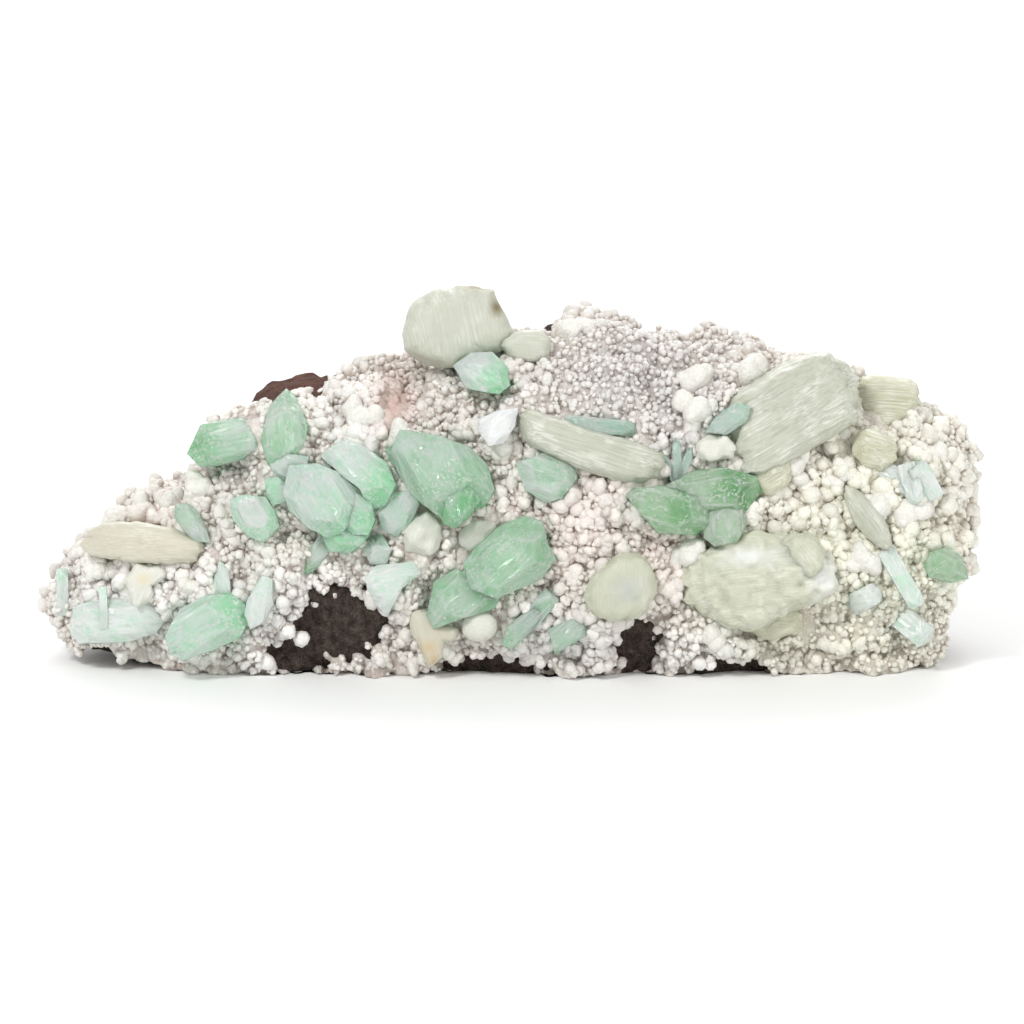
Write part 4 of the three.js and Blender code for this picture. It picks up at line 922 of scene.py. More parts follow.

# Each node is one crystal or a group grown together. A crystal with an outline lies on the
# crust: (across, up) clockwise, height over its seat, root below it and the slope of the whole.
# The small ones are square prisms on their own axis. turn is the direction of the end in the
# display plane, green how strongly the crystal is coloured at its start and its end, paintedShine
# how strongly a painted reflection whitens its front face and out how far it is moved out of the face.
apophyllites = {
    "chisel_left": [
        dict(outline=[(-71.5, 49.5), (-68.5, 56), (-55, 58.5), (-54, 52.5), (-58.5, 48.5), (-63.5, 47),
             (-68.5, 46.5)], at=(-58.5, 50), root=9, height=6, slope=(0.1, -0.1), green=(0.2, 0.9),
             turn=190)],
    "tall_left": [
        dict(outline=[(-49.5, 64), (-47.5, 62.5), (-44.5, 56), (-45, 52), (-47.5, 48), (-50.5, 46),
             (-53.5, 47), (-55, 52), (-54, 57.5), (-53, 60.5)], root=7, height=6, slope=(0.05, -0.25),
             green=(0.6, 0.3), turn=97)],
    "group_centre": [
        dict(outline=[(-48.5, 47), (-42, 47.5), (-36.5, 45), (-32.5, 41), (-34, 35), (-37, 32),
             (-40, 31), (-44, 33), (-48.5, 37), (-50, 41)], height=8.5, slope=(0, -0.05),
             green=(0.1, 0.75), turn=-57),
        dict(outline=[(-42, 49), (-37, 53), (-32.5, 51.5), (-27, 47.5), (-25, 42.5), (-27.5, 38),
             (-31, 37), (-33, 41.5), (-38, 45.5)], height=8, slope=(0.05, -0.12), green=(0, 0.9),
             turn=-40),
        dict(outline=[(-42, 33), (-37, 33.5), (-33, 35), (-30.5, 32), (-32.5, 29.5), (-35.5, 27.5),
             (-40, 28)], height=6.5, green=(0.8, 1), turn=-57),
        dict(outline=[(-54, 44), (-51, 44.5), (-48.5, 42.5), (-48.5, 39), (-52, 38), (-53.5, 40.5)],
             height=5.5, green=(0.5, 0.8), turn=200),
        dict(outline=[(-38, 39), (-34, 41), (-30.5, 39), (-29.5, 35), (-31, 31.5), (-35, 31.5),
             (-38, 34.5)], height=6.5, green=(0.5, 0.9), turn=-40),
        dict(outline=[(-53, 47), (-49, 49.5), (-44, 49), (-45, 45), (-50, 42)], height=5,
             green=(0.3, 0.2), turn=150),
        dict(outline=[(-26.5, 41), (-21, 41.5), (-20, 38.5), (-22, 34), (-25, 31), (-28.5, 33),
             (-29.5, 37)], height=5.5, green=(0.2, 0.3), turn=250)],
    "big_middle": [
        dict(outline=[(-24.5, 55), (-15.5, 53.5), (-9, 51), (-5, 47), (-3.5, 41.5), (-5.5, 38),
             (-9, 36.5), (-14, 34), (-21.5, 40), (-25, 45.5), (-26.5, 50)], height=9,
             slope=(0.04, -0.12), green=(0.25, 0.8), turn=-62),
        dict(outline=[(-14, 40), (-9, 42.5), (-6.5, 39.5), (-9, 35.5), (-12, 33), (-15, 34)],
             height=8.5, green=(0.9, 1), turn=-76),
        dict(outline=[(-27.5, 50.5), (-24.5, 52), (-22, 50), (-22, 46), (-26, 46.5)], height=6,
             green=(0.7, 0.8), turn=170)],
    "prism_ridge": [
        # its front face carries a painted reflection
        dict(outline=[(-7, 57), (-3, 59), (1.5, 59.5), (1, 55.5), (-1.5, 51.5), (-5, 51), (-7, 54)],
             height=7, slope=(0.1, -0.1), paintedShine=0.8, green=(0.2, 0), turn=40)],
    "under_fan": [
        dict(outline=[(-13, 69), (-9, 72), (-4, 72), (-1, 69), (0, 64.5), (-2.5, 62.5), (-6.5, 63),
             (-10, 64)], at=(-3.5, 63.5), root=9, height=7, slope=(0.1, -0.3), green=(0.1, 0.9),
             turn=-37)],
    "long_low": [
        dict(outline=[(-10.5, 25.5), (-7.5, 29.5), (-2, 34), (3, 36), (7, 34.5), (8, 30), (10, 26.5),
             (6.5, 22), (1, 19.5), (-3, 17.5), (-9, 20)], height=7, green=(0.5, 0.5), turn=42),
        dict(outline=[(-18.5, 14), (-17, 21.5), (-12, 24.5), (-6.5, 22), (-2, 18.5), (-3.5, 15.5),
             (-12.5, 12.5), (-17, 11)], height=6.5, green=(0.6, 0.4), turn=220)],
    "barrel_left": [
        dict(outline=[(-76, 9.5), (-72.5, 15.5), (-67, 18.5), (-61.5, 19), (-58, 16.5), (-57.5, 12.5),
             (-59.5, 9), (-65, 6.5), (-72, 4), (-75, 5.5)], height=7, green=(0.35, 0.9), turn=27)],
    "flat_left": [
        dict(outline=[(-97, 16), (-90.5, 17.5), (-85, 17.5), (-78.5, 16), (-76, 13), (-78, 10),
             (-84, 8), (-95.5, 7.5), (-97.5, 10)], root=7, height=5.5, slope=(0.15, 0),
             green=(0.05, 0.1), turn=-3),
        dict(at=(-89.6, 13.5), turn=92, lift=4, half=0.9, length=7, point=2, blunt=0.6, out=4.6,
             green=(0, 0.1))],
    "pair_right": [
        dict(outline=[(25, 40.5), (27, 42), (33, 42.5), (42, 39.5), (44.5, 36.5), (44, 34.5),
             (40.5, 31.5), (32, 32), (27.5, 37)], height=7, green=(0.45, 0.8), turn=-17),
        dict(outline=[(32.5, 42), (40.5, 46), (46.5, 46.5), (54, 44.5), (55, 41.5), (51.5, 37),
             (44.5, 36), (38, 38.5)], height=7.5, slope=(0.03, -0.05), green=(0.4, 1), turn=6),
        dict(outline=[(42, 38), (50.5, 38), (51.5, 33.5), (49.5, 30), (44.5, 29), (42, 31)], height=5,
             green=(0.2, 0.1), turn=-86)],
    "edge_right": [
        dict(outline=[(90.5, 25), (92, 28), (96, 29), (99, 27), (100.5, 22), (96.5, 21), (91.5, 22.5)],
             at=(93.5, 25), root=7, height=6, slope=(-0.2, 0), green=(0.5, 0.4), turn=-20)],
    "octagon_left": [
        # its front face carries a painted reflection
        dict(outline=[(-61.5, 39.5), (-58.5, 40.5), (-53.5, 40), (-51.5, 37), (-50.5, 33.5), (-54, 30),
             (-57.5, 31), (-61, 35)], height=6.5, paintedShine=0.6, green=(0.4, 0.8), turn=-60)],
    "pale_right": [
        dict(at=(83, 45.5), turn=-40, lift=20, half=2, length=8.5, point=5, blunt=0.7, green=(0, 0.1)),
        dict(at=(90.5, 43), turn=120, lift=25, half=3, length=6, point=6, blunt=0.5, sink=1,
             green=(0, 0.1)),
        dict(at=(87.5, 44.5), turn=-75, lift=20, half=2, length=6.5, point=4, blunt=0.7,
             green=(0, 0.1))],
    "leaf_left": [
        dict(outline=[(-74, 38), (-71.5, 39), (-69, 37), (-67, 33.5), (-66, 30), (-69, 30), (-72.5, 33),
             (-74, 35.5)], root=6, height=4.5, slope=(0.2, -0.3), green=(0.4, 0.1), turn=-52)],
    "splinter_edge": [
        dict(at=(-99.4, 16.2), turn=92, lift=2, half=1.4, length=8, point=3, blunt=0.6,
             green=(0, 0.3))],
    "pale_under_blade": [
        dict(outline=[(1, 47.5), (7.5, 50), (14, 47.5), (14.5, 44), (11, 39.5), (7.5, 38.5), (3, 41.5)],
             height=4.5, green=(0.1, 0.3), turn=-18)],
    "pair_low": [
        dict(outline=[(-2, 7.5), (-1, 11.5), (3.5, 15.5), (7.5, 17.5), (8.5, 14.5), (5, 11), (1.5, 7.5),
             (0, 6.5)], height=4, green=(0.1, 0.5), turn=222),
        dict(at=(5, 14), turn=50, lift=14, half=2.2, length=6.5, point=5, blunt=0.6, green=(0.1, 0.1))],
    "small_low": [
        dict(outline=[(8, 11), (13.5, 13.5), (17.5, 13.5), (17, 10), (13, 7.5), (9.5, 5.5)], height=3.5,
             green=(0.3, 0.3), turn=38)],
    "frosted_low": [
        dict(outline=[(-32, 22.5), (-29.5, 25), (-21.5, 26), (-19.5, 23.5), (-23.5, 20), (-27, 14),
             (-30, 16.5), (-31.5, 20)], height=4.5, green=(0, 0.3), turn=12)],
    "bead_centre": [
        dict(at=(-29.4, 28.4), turn=-60, lift=66, half=2.9, length=5, point=6, blunt=0.5, sink=1.5,
             green=(0.3, 0.2))],
    "leaf_centre": [
        dict(at=(-41.5, 29), turn=238, lift=8, half=1.9, length=7, point=7, green=(0.2, 0.7))],
    "slender_left": [
        dict(outline=[(-57.5, 18), (-54.5, 23), (-52, 22), (-52, 16.5), (-54, 12.5), (-57, 11),
             (-58.5, 14)], height=4.5, green=(0, 0.2), turn=78)],
    "pale_left": [
        dict(at=(-63.2, 19), turn=95, lift=12, half=1.7, length=7, point=5, green=(0, 0.1))],
    "teal_fragment": [
        dict(outline=[(42, 54), (44.5, 57.5), (49, 60.5), (52.5, 60), (51.5, 56.5), (47, 53.5)],
             height=5.5, green=(0.1, 0.4), turn=36)],
    "slender_right": [
        dict(at=(83.4, 26.2), turn=-60, lift=8, half=2, length=12, point=4, blunt=0.7,
             green=(0.1, 0.1))],
    "block_right": [
        dict(at=(77.8, 17.8), turn=30, lift=60, half=2.4, length=4.6, point=4, blunt=0.4, sink=1,
             green=(0, 0))],
    "low_right": [
        dict(at=(88.6, 11.4), turn=-40, lift=34, half=2.8, length=6, point=5, blunt=0.5, sink=1.5,
             green=(0, 0))],
    "thin_above_blade": [
        dict(at=(14.2, 56), turn=-5, half=1.8, length=13, point=4, blunt=0.7, out=0.8,
             green=(0.1, 0.5))],
    "teal_needles": [
        dict(at=(36.4, 43.6), turn=92, lift=8, half=1, length=9.5, point=3, out=0.6, green=(0.2, 0.4)),
        dict(at=(36.9, 43.6), turn=70, lift=6, half=0.9, length=8, point=3, out=0.6, green=(0.2, 0.4)),
        dict(at=(35.9, 43.6), turn=116, lift=6, half=0.9, length=7.5, point=3, out=0.6,
             green=(0.2, 0.4))],
}

# which finish each node takes; the rest are mint
apophylliteFinish = {
    "bright": ("group_centre", "barrel_left", "under_fan", "octagon_left"),
    "deep": ("pair_right", "edge_right"),
    "pale": ("flat_left", "pale_right", "pale_left", "slender_left", "slender_right", "block_right",
             "low_right", "frosted_low", "splinter_edge", "bead_centre"),
    "glassy": ("prism_ridge",),
    "teal": ("teal_fragment", "teal_needles", "thin_above_blade"),
}

# body and tip tint the light that goes through a face, milk is the colour of the clouded
# shards and veil their strength, absorb colours the light on its way inside and glint is how
# far the small shards tilt
apophylliteColours = {
    "mint": {"body": (0.77, 0.985, 0.84), "tip": (0.28, 0.70, 0.34), "milk": (0.87, 0.99, 0.90),
             "absorb": (0.50, 0.92, 0.66), "density": 7.0, "clear": 0.55, "veil": 0.8, "glint": 1.1},
    "deep": {"body": (0.72, 0.93, 0.71), "tip": (0.17, 0.52, 0.18), "milk": (0.85, 0.97, 0.83),
             "absorb": (0.50, 0.90, 0.58), "density": 8.0, "clear": 0.55, "veil": 0.8, "glint": 1.1},
    "bright": {"body": (0.82, 1.0, 0.885), "tip": (0.42, 0.90, 0.53), "milk": (0.91, 1.0, 0.94),
               "absorb": (0.58, 0.95, 0.74), "density": 4.0, "clear": 0.45, "veil": 0.8, "glint": 1.1},
    "pale": {"body": (0.85, 1.0, 0.885), "tip": (0.46, 0.90, 0.58), "milk": (0.92, 1.0, 0.94),
             "absorb": (0.70, 0.95, 0.78), "density": 2.0, "clear": 0.32, "veil": 0.8, "glint": 1.1},
    "glassy": {"body": (0.95, 0.985, 1.0), "tip": (0.84, 0.96, 0.92), "milk": (0.98, 0.99, 1.0),
               "absorb": (0.85, 0.94, 0.90), "density": 2.5, "clear": 0.25, "veil": 0.8, "glint": 0.6},
    "teal": {"body": (0.70, 0.90, 0.79), "tip": (0.42, 0.72, 0.54), "milk": (0.82, 0.96, 0.88),
             "absorb": (0.55, 0.80, 0.68), "density": 8.0, "clear": 0.55, "veil": 0.7, "glint": 1.1},
}


def squareRim(half, spacing):
    # points round the edge of a square in unit coordinates, corners included
    sides = []
    for start, end in (((1, -1), (1, 1)), ((1, 1), (-1, 1)), ((-1, 1), (-1, -1)), ((-1, -1), (1, -1))):
        steps = 2 * max(3, int(round(half / spacing)))
        t = np.arange(steps)[:, None] / steps
        sides.append(np.array(start) * (1 - t) + np.array(end) * t)
    return np.concatenate(sides).astype(float)


def prismRings(c):
    # Square prism capped by a pyramid turned 45 degrees: each ring is the square rim cut by
    # |x| + |y| <= 2 - 2 (z - shoulder) / point, with a soft minimum that rounds the edges. Its
    # edges lie where the two sides of that are equal.
    spacing, root = apophyllite["spacing"], apophyllite["root"]
    half, length, point, blunt = c["half"], c["length"], c["point"], c.get("blunt", 0.9)
    shoulder, chamfer = length - point * blunt, apophyllite["chamfer"]
    rim = squareRim(half, spacing)
    z = np.linspace(0, length, max(4, int(length / spacing)) + 1)
    inward = np.append(np.ones(len(z)), 1 - chamfer / half)
    shrink = np.linspace(1 - chamfer / half, 0, max(3, int(half / spacing)) + 1)[1:-1]
    z = np.concatenate([[-root, -root], z[:-1], [length - chamfer, length], np.full(len(shrink), length)])
    inward = np.concatenate([[0.4, 1], inward, shrink])
    allowed = 2 - 2 * np.maximum(z - shoulder, 0) / point
    q = apophyllite["edge"]
    ratio = np.abs(rim).sum(1)[None] / allowed[:, None]
    cut = (1 + ratio ** q) ** (-1 / q) * inward[:, None]
    flat = rim[None] * cut[..., None] * half
    place = np.concatenate([flat, np.broadcast_to(z[:, None, None], (*cut.shape, 1))], -1)
    return place, 1 - eased(np.abs(ratio - 1), 0.03, 0.2)


def grown(rings, seed):
    # growth relief along the normals: stepped terraces, fine striations and chipped edges
    local = rings + seed * 17.3
    steps = cloud(local, 3.4, 11) * 5
    terrace = np.floor(steps) + eased(steps - np.floor(steps), 0.72, 0.95)
    along = cloud(local * (1.0, 0.12, 1.0), 1.1, 12) - 0.5
    waves = cloud(local, 1.3, 13) - 0.5
    chips = np.maximum(cloud(local, 2.6, 14) - 0.74, 0) * 4
    relief = (apophyllite["terrace"] * (terrace - 2.5) + apophyllite["striation"] * along * 2
              + 0.03 * waves - apophyllite["chip"] * chips * 0.5)
    return rings + gridNormals(rings) * relief[..., None]


def facetDrop(arm, c, seed):
    # How far the crystal's faces lie under its front face: two long side faces, a pointed end
    # of two faces along the turn and a blunter one behind. Each is a plane that starts at its
    # share of the way out and falls with its slope; a soft minimum joins them. The edge is 1
    # where the two lowest planes meet.
    corners = np.array(c["outline"], float)
    corners = corners - corners.mean(0)
    planes = [np.zeros(arm.shape[:-1])]
    for n, (degrees, start, slope) in enumerate(apophyllite["faces"]):
        turn = math.radians(c["turn"] + degrees + 16 * (hashed(n, seed, 1, 3) - 0.5))
        way = np.array([math.cos(turn), math.sin(turn)])
        begin = (corners @ way).max() * start * (0.8 + 0.4 * hashed(n, seed, 2, 3))
        planes.append(slope * (0.7 + 0.6 * hashed(n, seed, 3, 3)) * (begin - arm @ way))
    planes = np.sort(np.clip(np.stack(planes), -6, 3), axis=0)
    drop = -np.log(np.exp(-8 * planes).sum(0)) / 8
    return drop, 1 - eased(planes[1] - planes[0], 0.05, 0.45)


def apophylliteShell(c, seed):
    # one crystal in the specimen's frame, with how strongly each point is green, how strongly a painted
    # reflection whitens it, and where its edges lie
    if "outline" in c:
        height, root = c["height"], c.get("root", 5)
        levels = [(-root, 0.05), (-root, 0.86), (height * 0.3, 1), (height, 0.97), (height, 0.04)]
        local, centre, radius, lift = outlineRings(
            c, levels, apophyllite["spacing"], apophyllite["jag"], seed)
        drop, edge = facetDrop(local[..., :2] - centre, c, seed)
        local[..., 2] += np.minimum(0, height + drop - lift)
        along, side = turnedPlace(local, centre, c["turn"])
        reach = along / radius
        # painted reflection on the front face's top, scaled by the crystal's own share
        paintedShine = eased(drop, -0.3, -0.05) * (lift > height - 0.01) * c.get("paintedShine", 0)
        streak = np.stack([along * 0.16, side, local[..., 2]], -1) + seed * 5.1
        local = grown(local, seed)
        rings = onPlane(local[..., 0], local[..., 1], local[..., 2])
    else:
        local, edge = prismRings(c)
        reach = local[..., 2] / c["length"] * 2 - 1
        paintedShine = np.zeros(reach.shape)
        streak = local * (1, 1, 0.16) + seed * 5.1
        turned, origin = turnedFrame(c)
        rings = grown(local, seed) @ turned + origin
    root, tip = c["green"]
    tint = root + (tip - root) * eased(reach, -0.5, 0.85)
    tint = np.clip(tint * (0.65 + 0.7 * cloud(local + seed, 3, 15)), 0, 1)
    return tubeShell(rings, {"green": tint, "paintedShine": paintedShine, "streak": streak, "edge": edge})


def apophylliteMaterial(name, look):
    # Clear crystal: transmission, IOR and absorption, greener and clearer towards its end. Milky
    # clouds and hairs lie in it, shards of two sizes tilt its faces, and some of the small ones are
    # white. Painted glints as white flecks, painted highlights along the edges and a painted
    # reflection on some front faces are white too.
    material, tree = newMaterial("apophyllite_" + name)
    streak, green = readAttribute(tree, "streak", "Vector"), readAttribute(tree, "green")
    large, small = (placeGroup(tree, shardGroup, Place=streak, Scale=scale, Amount=tilt)
                    for scale, tilt in zip(apophyllite["shards"], (apophyllite["tilt"], look["glint"])))
    hairs = noiseOn(tree, streak, 2.2, 4.0)
    colour = mixColours(tree, green, look["body"], look["tip"])
    greener = mixValues(tree, mottled(tree, *apophyllite["greener"]), 0.0, 0.45)
    colour = mixColours(tree, greener, colour, look["tip"])
    # clouds, white shards and hairs, by where they start and end and by their share of the veil
    for source, low, high, share in (
            (mottled(tree, *apophyllite["clouds"]), 0.0, 1.0, 0.75),
            (small["Tone"], 0.86, 0.92, 0.9), (hairs, 0.6, 0.7, 0.35)):
        veil = mixValues(tree, green, look["veil"] * share, look["veil"] * share * 0.25)
        colour = mixColours(tree, spanned(tree, source, low, high, 0.0, veil), colour, look["milk"])
    # painted glints: white flecks on the faces
    paintedGlints = combine(tree, "MULTIPLY", *(mottled(tree, *size) for size in apophyllite["paintedGlints"]))
    # painted reflection on some front faces and painted highlights along the facet edges
    paintedShine = combine(tree, "ADD", readAttribute(tree, "paintedShine"),
                    mixValues(tree, readAttribute(tree, "edge"), 0.0, 0.35), use_clamp=True)
    for mask in (mixValues(tree, paintedGlints, 0.0, 0.75), paintedShine):
        colour = mixColours(tree, mask, colour, apophyllite["white"])
    normals = {"Factor": 0.5, "A": large["Normal"], "B": small["Normal"]}
    tilted = addNode(tree, "Mix", normals, data_type="VECTOR").outputs["Result"]
    absorption = {"Color": (*look["absorb"], 1), "Density": look["density"]}
    plug(tree, tree.nodes["Material Output"],
         {"Volume": addNode(tree, "VolumeAbsorption", absorption).outputs["Volume"]})
    return finishMaterial(material, {
        "Base Color": colour, "Roughness": mixValues(tree, large["Tone"], *apophyllite["rough"]),
        "IOR": apophyllite["ior"], "Transmission Weight": look["clear"],
        "Subsurface Weight": 0.6, "Subsurface Scale": apophyllite["inside"],
        "Subsurface Radius": (1.0, 1.0, 1.0), "Normal": bumped(tree, hairs, 0.5, 0.0005, tilted)})


def makeApophyllites():
    # one material for each finish and one piece for each node
    materials = {name: apophylliteMaterial(name, look) for name, look in apophylliteColours.items()}
    finishes = {node: finish for finish, names in apophylliteFinish.items() for node in names}
    for n, (node, crystals) in enumerate(apophyllites.items()):
        shells = [apophylliteShell(c, n * 7 + m * 3 + 1) for m, c in enumerate(crystals)]
        makePiece(node + "_crystals", shells, materials[finishes.get(node, "mint")],
                  ("apophyllite_" + node,), apophyllite["crisp"])


stilbite = {
    "spacing": 0.5,  # mm between the surface's points
    "sectionPower": 2.5,  # over 2 squares the oval section of a small sheaf
    "pillow": 4.2,  # over 2 squares the pillow of a sheaf with an outline
    "blade": 2.3,  # mm width of one blade of the sheaf
    "striation": 0.09,  # mm depth of the fine lines
    "crisp": 40,  # edges that turn by more degrees stay sharp
    # scale, detail, low and high of the mottle
    "patches": (420.0, 4.0, 0.4, 0.62),
    # painted sheen: where white lies on the paler streaks
    "paintedSheen": (230.0, 3.0, 0.48, 0.6),
    "paintedSheenColour": (0.86, 0.86, 0.82),
    "inside": 0.003,  # m that light spreads in it
}

# Each node is one sheaf or a group grown together. Those with an outline lie on the crust like
# a pillow, the small ones are oval tubes with half widths and half depths at start, middle and
# end. Blades run along the turn; steps is the height between them, ragged how far they end
# apart and grit how grainy they are. Stains are across, up, half width and half height.
stilbites = {
    "fan_top": [
        dict(outline=[(-24, 77), (-23, 81.5), (-21, 83.5), (-16.5, 86.5), (-4, 86.5), (-2.5, 83),
             (1, 75.5), (-2.5, 72), (-8.5, 70), (-14, 68), (-21.5, 71), (-24, 73)], at=(-12, 68),
             root=8, height=9, steps=0.15, ragged=0.8, turn=102, grit=0.4,
             stains=[(-7, 87, 4, 1.2), (-3, 82, 1.5, 2)]),
        dict(outline=[(-2.5, 74), (1.5, 77), (7, 77), (9, 74.5), (8.5, 71), (5, 69.5), (0, 70.5)],
             at=(5, 73), root=6, height=4.5, steps=0, ragged=0.2, turn=-3)],
    "blade_left": [
        dict(outline=[(-95.5, 30), (-93, 33), (-88, 35), (-76.5, 34), (-69, 31), (-67, 28), (-69, 26),
             (-77, 25), (-93, 26.5)], at=(-80, 29), root=8, height=6, slope=(0.22, -0.1), steps=0.14,
             ragged=1.3, turn=-3)],
    "blade_middle": [
        dict(outline=[(1.5, 57.5), (4.5, 59), (10, 57.5), (18.5, 54), (27, 52), (34, 49), (30, 43),
             (23.5, 43.5), (16.5, 45.5), (9, 48.5), (3.5, 52)], height=6.5, slope=(0.03, -0.1),
             steps=0.35, ragged=1.4, turn=-18)],
    "sheaf_right": [
        dict(outline=[(46.5, 61), (55, 66), (61.5, 69.5), (68.5, 72), (74, 69), (77, 63.5), (76.5, 58),
             (72.5, 54), (62.5, 48), (55, 44), (50.5, 45), (48, 52)], root=7, height=8.5, out=1,
             slope=(-0.08, -0.2), steps=0.8, ragged=1.4, turn=30)],
    "block_right": [
        dict(outline=[(76.5, 66.5), (81.5, 67.5), (90.5, 66), (91, 62.5), (89, 59), (87.5, 56.5),
             (82, 54), (78, 55.5)], root=8, height=6.5, out=4, slope=(0, -0.3), steps=0.4, ragged=0.8,
             turn=-4)],
    "disc": [
        dict(outline=[(16, 19), (19, 24), (24, 28), (28.5, 27.5), (31.5, 23.5), (32, 18.5), (29, 14.5),
             (22.5, 12.5), (17.5, 14.5)], height=6.5, steps=0, ragged=0.2, turn=90, grit=0.7,
             stains=[(25.5, 19.8, 3, 3)])],
    "bow_low": [
        dict(outline=[(36.5, 22.5), (38.5, 27.5), (45.5, 30), (52.5, 32.5), (61.5, 32), (67.5, 28.5),
             (71.5, 26), (71.5, 19.5), (66, 17), (57.5, 12.5), (51.5, 10.5), (44.5, 13), (38, 17.5)],
             height=8.5, steps=0.1, ragged=1, turn=6, grit=2,
             stains=[(69, 22, 3.5, 4.5), (52, 27, 6, 2)]),
        dict(outline=[(59, 30.5), (62.5, 32.5), (67, 31), (68.5, 28), (68, 23.5), (64.5, 22.5),
             (61, 26)], height=9.5, steps=0, ragged=0.3, turn=-48, grit=1.7)],
    "hook_left": [
        dict(outline=[(-83.2, 24.9), (-82.1, 25.6), (-79.3, 25.1), (-77.1, 25.5), (-75.9, 24.6),
             (-75.3, 22.9), (-77.1, 21.2), (-79.2, 20.3), (-78.6, 18.5), (-79.3, 17.2), (-81.8, 15.4),
             (-83.2, 15.7), (-84.5, 18.3), (-85.1, 21.8)], height=4.6, steps=0, ragged=0, turn=60,
             stains=[(-80.8, 22, 1.5, 1.2)])],
    "small_low": [
        dict(outline=[(-22.2, 14.7), (-20.5, 15.8), (-18.3, 15), (-16.2, 12.6), (-13, 11.6),
             (-11.4, 11), (-12.1, 8.8), (-14.3, 8.2), (-15.2, 5.3), (-16.9, 2.6), (-18.5, 3.3),
             (-20, 6.8), (-22, 10.8)], height=4.2, steps=0.15, ragged=0.1, turn=105,
             stains=[(-18, 7, 2, 1.5), (-17, 4.5, 1.2, 2)])],
    "egg_low": [
        dict(at=(-10.8, 11.3), turn=5, length=7.8, widths=(2.4, 3.3, 2.4), depths=(2, 3, 2), out=1.4,
             steps=0, ragged=0)],
    "lump_low": [
        dict(at=(-10.2, 29.2), turn=42, lift=2, length=8, widths=(2.4, 3.2, 2.4), depths=(2, 2.8, 2),
             out=1.2, steps=0, grit=1.3, ragged=0.2)],
    "lump_centre": [
        dict(at=(-20.4, 27.2), turn=72, lift=4, length=9.4, widths=(3.4, 4.3, 3.4),
             depths=(2.6, 3.6, 2.6), steps=0, grit=1.3, ragged=0.2)],
    "egg_right": [
        dict(outline=[(40, 50.5), (42.5, 53.5), (47, 53.5), (50, 50.5), (48, 48), (42.5, 48)],
             height=4.5, steps=0, grit=1.3, ragged=0.1, turn=-8)],
    "splinter_right": [
        dict(at=(73.3, 42.4), turn=-55, lift=6, length=17, widths=(1.2, 2.9, 1.4), depths=(1.4, 2, 1.6),
             out=0.8, steps=0.2, ragged=0.6)],
    "drusy_right": [
        dict(at=(75, 51.6), turn=-16, lift=4, length=10, widths=(3, 4.2, 3), depths=(2, 2.8, 2),
             out=0.6, steps=0.2, grit=1.3, ragged=0.4)],
    "drusy_middle": [
        dict(at=(52.6, 41.6), turn=30, lift=2, length=10, widths=(2.6, 3.2, 2.4), depths=(2, 2.8, 2),
             steps=0.2, grit=1.3, ragged=0.4)],
    "yellow_low": [
        dict(at=(52.6, 11.8), turn=4, lift=2, length=11.6, widths=(2.6, 3.5, 2.6), depths=(2, 2.8, 2),
             out=0.6, steps=0.1, grit=1.3, ragged=0.3)],
}

stilbiteColours = {
    # body, thinner and paler streaks, stains, subsurface share, roughness, painted white sheen
    # on the streaks, striation strength
    "cream": {"body": (0.515, 0.53, 0.41), "streak": (0.56, 0.57, 0.46), "stain": (0.50, 0.52, 0.47),
              "inside": 0.3, "rough": 0.45, "paintedSheen": 0.2, "lines": 0.05},
    "granular": {"body": (0.52, 0.535, 0.41), "streak": (0.60, 0.61, 0.50), "stain": (0.76, 0.77, 0.73),
                 "inside": 0.3, "rough": 0.4, "paintedSheen": 0.3, "lines": 0.05},
    "satin": {"body": (0.50, 0.52, 0.43), "streak": (0.57, 0.58, 0.50), "stain": (0.22, 0.17, 0.08),
              "inside": 0.3, "rough": 0.42, "paintedSheen": 0.2, "lines": 0.12},
    "pearl": {"body": (0.43, 0.445, 0.36), "streak": (0.54, 0.55, 0.46), "stain": (0.3, 0.3, 0.2),
              "inside": 0.2, "rough": 0.28, "paintedSheen": 0.4, "lines": 0.4},
    "warm": {"body": (0.545, 0.52, 0.41), "streak": (0.60, 0.58, 0.49), "stain": (0.58, 0.47, 0.30),
             "inside": 0.25, "rough": 0.42, "paintedSheen": 0.2, "lines": 0.25},
    "white": {"body": (0.64, 0.64, 0.56), "streak": (0.71, 0.71, 0.65), "stain": (0.70, 0.63, 0.46),
              "inside": 0.25, "rough": 0.45, "paintedSheen": 0.3, "lines": 0.15},
    "yellow": {"body": (0.46, 0.46, 0.32), "streak": (0.60, 0.60, 0.48), "stain": (0.4, 0.35, 0.2),
               "inside": 0.3, "rough": 0.38, "paintedSheen": 0.35, "lines": 0.4},
}

stilbiteFinish = {
    "granular": ("bow_low",),
    "satin": ("fan_top",),
    "pearl": ("sheaf_right", "blade_middle", "splinter_right"),
    "warm": ("blade_left", "small_low"),
    "white": ("egg_low", "egg_right", "hook_left", "lump_centre", "lump_low"),
    "yellow": ("block_right", "yellow_low", "drusy_right", "drusy_middle"),
}


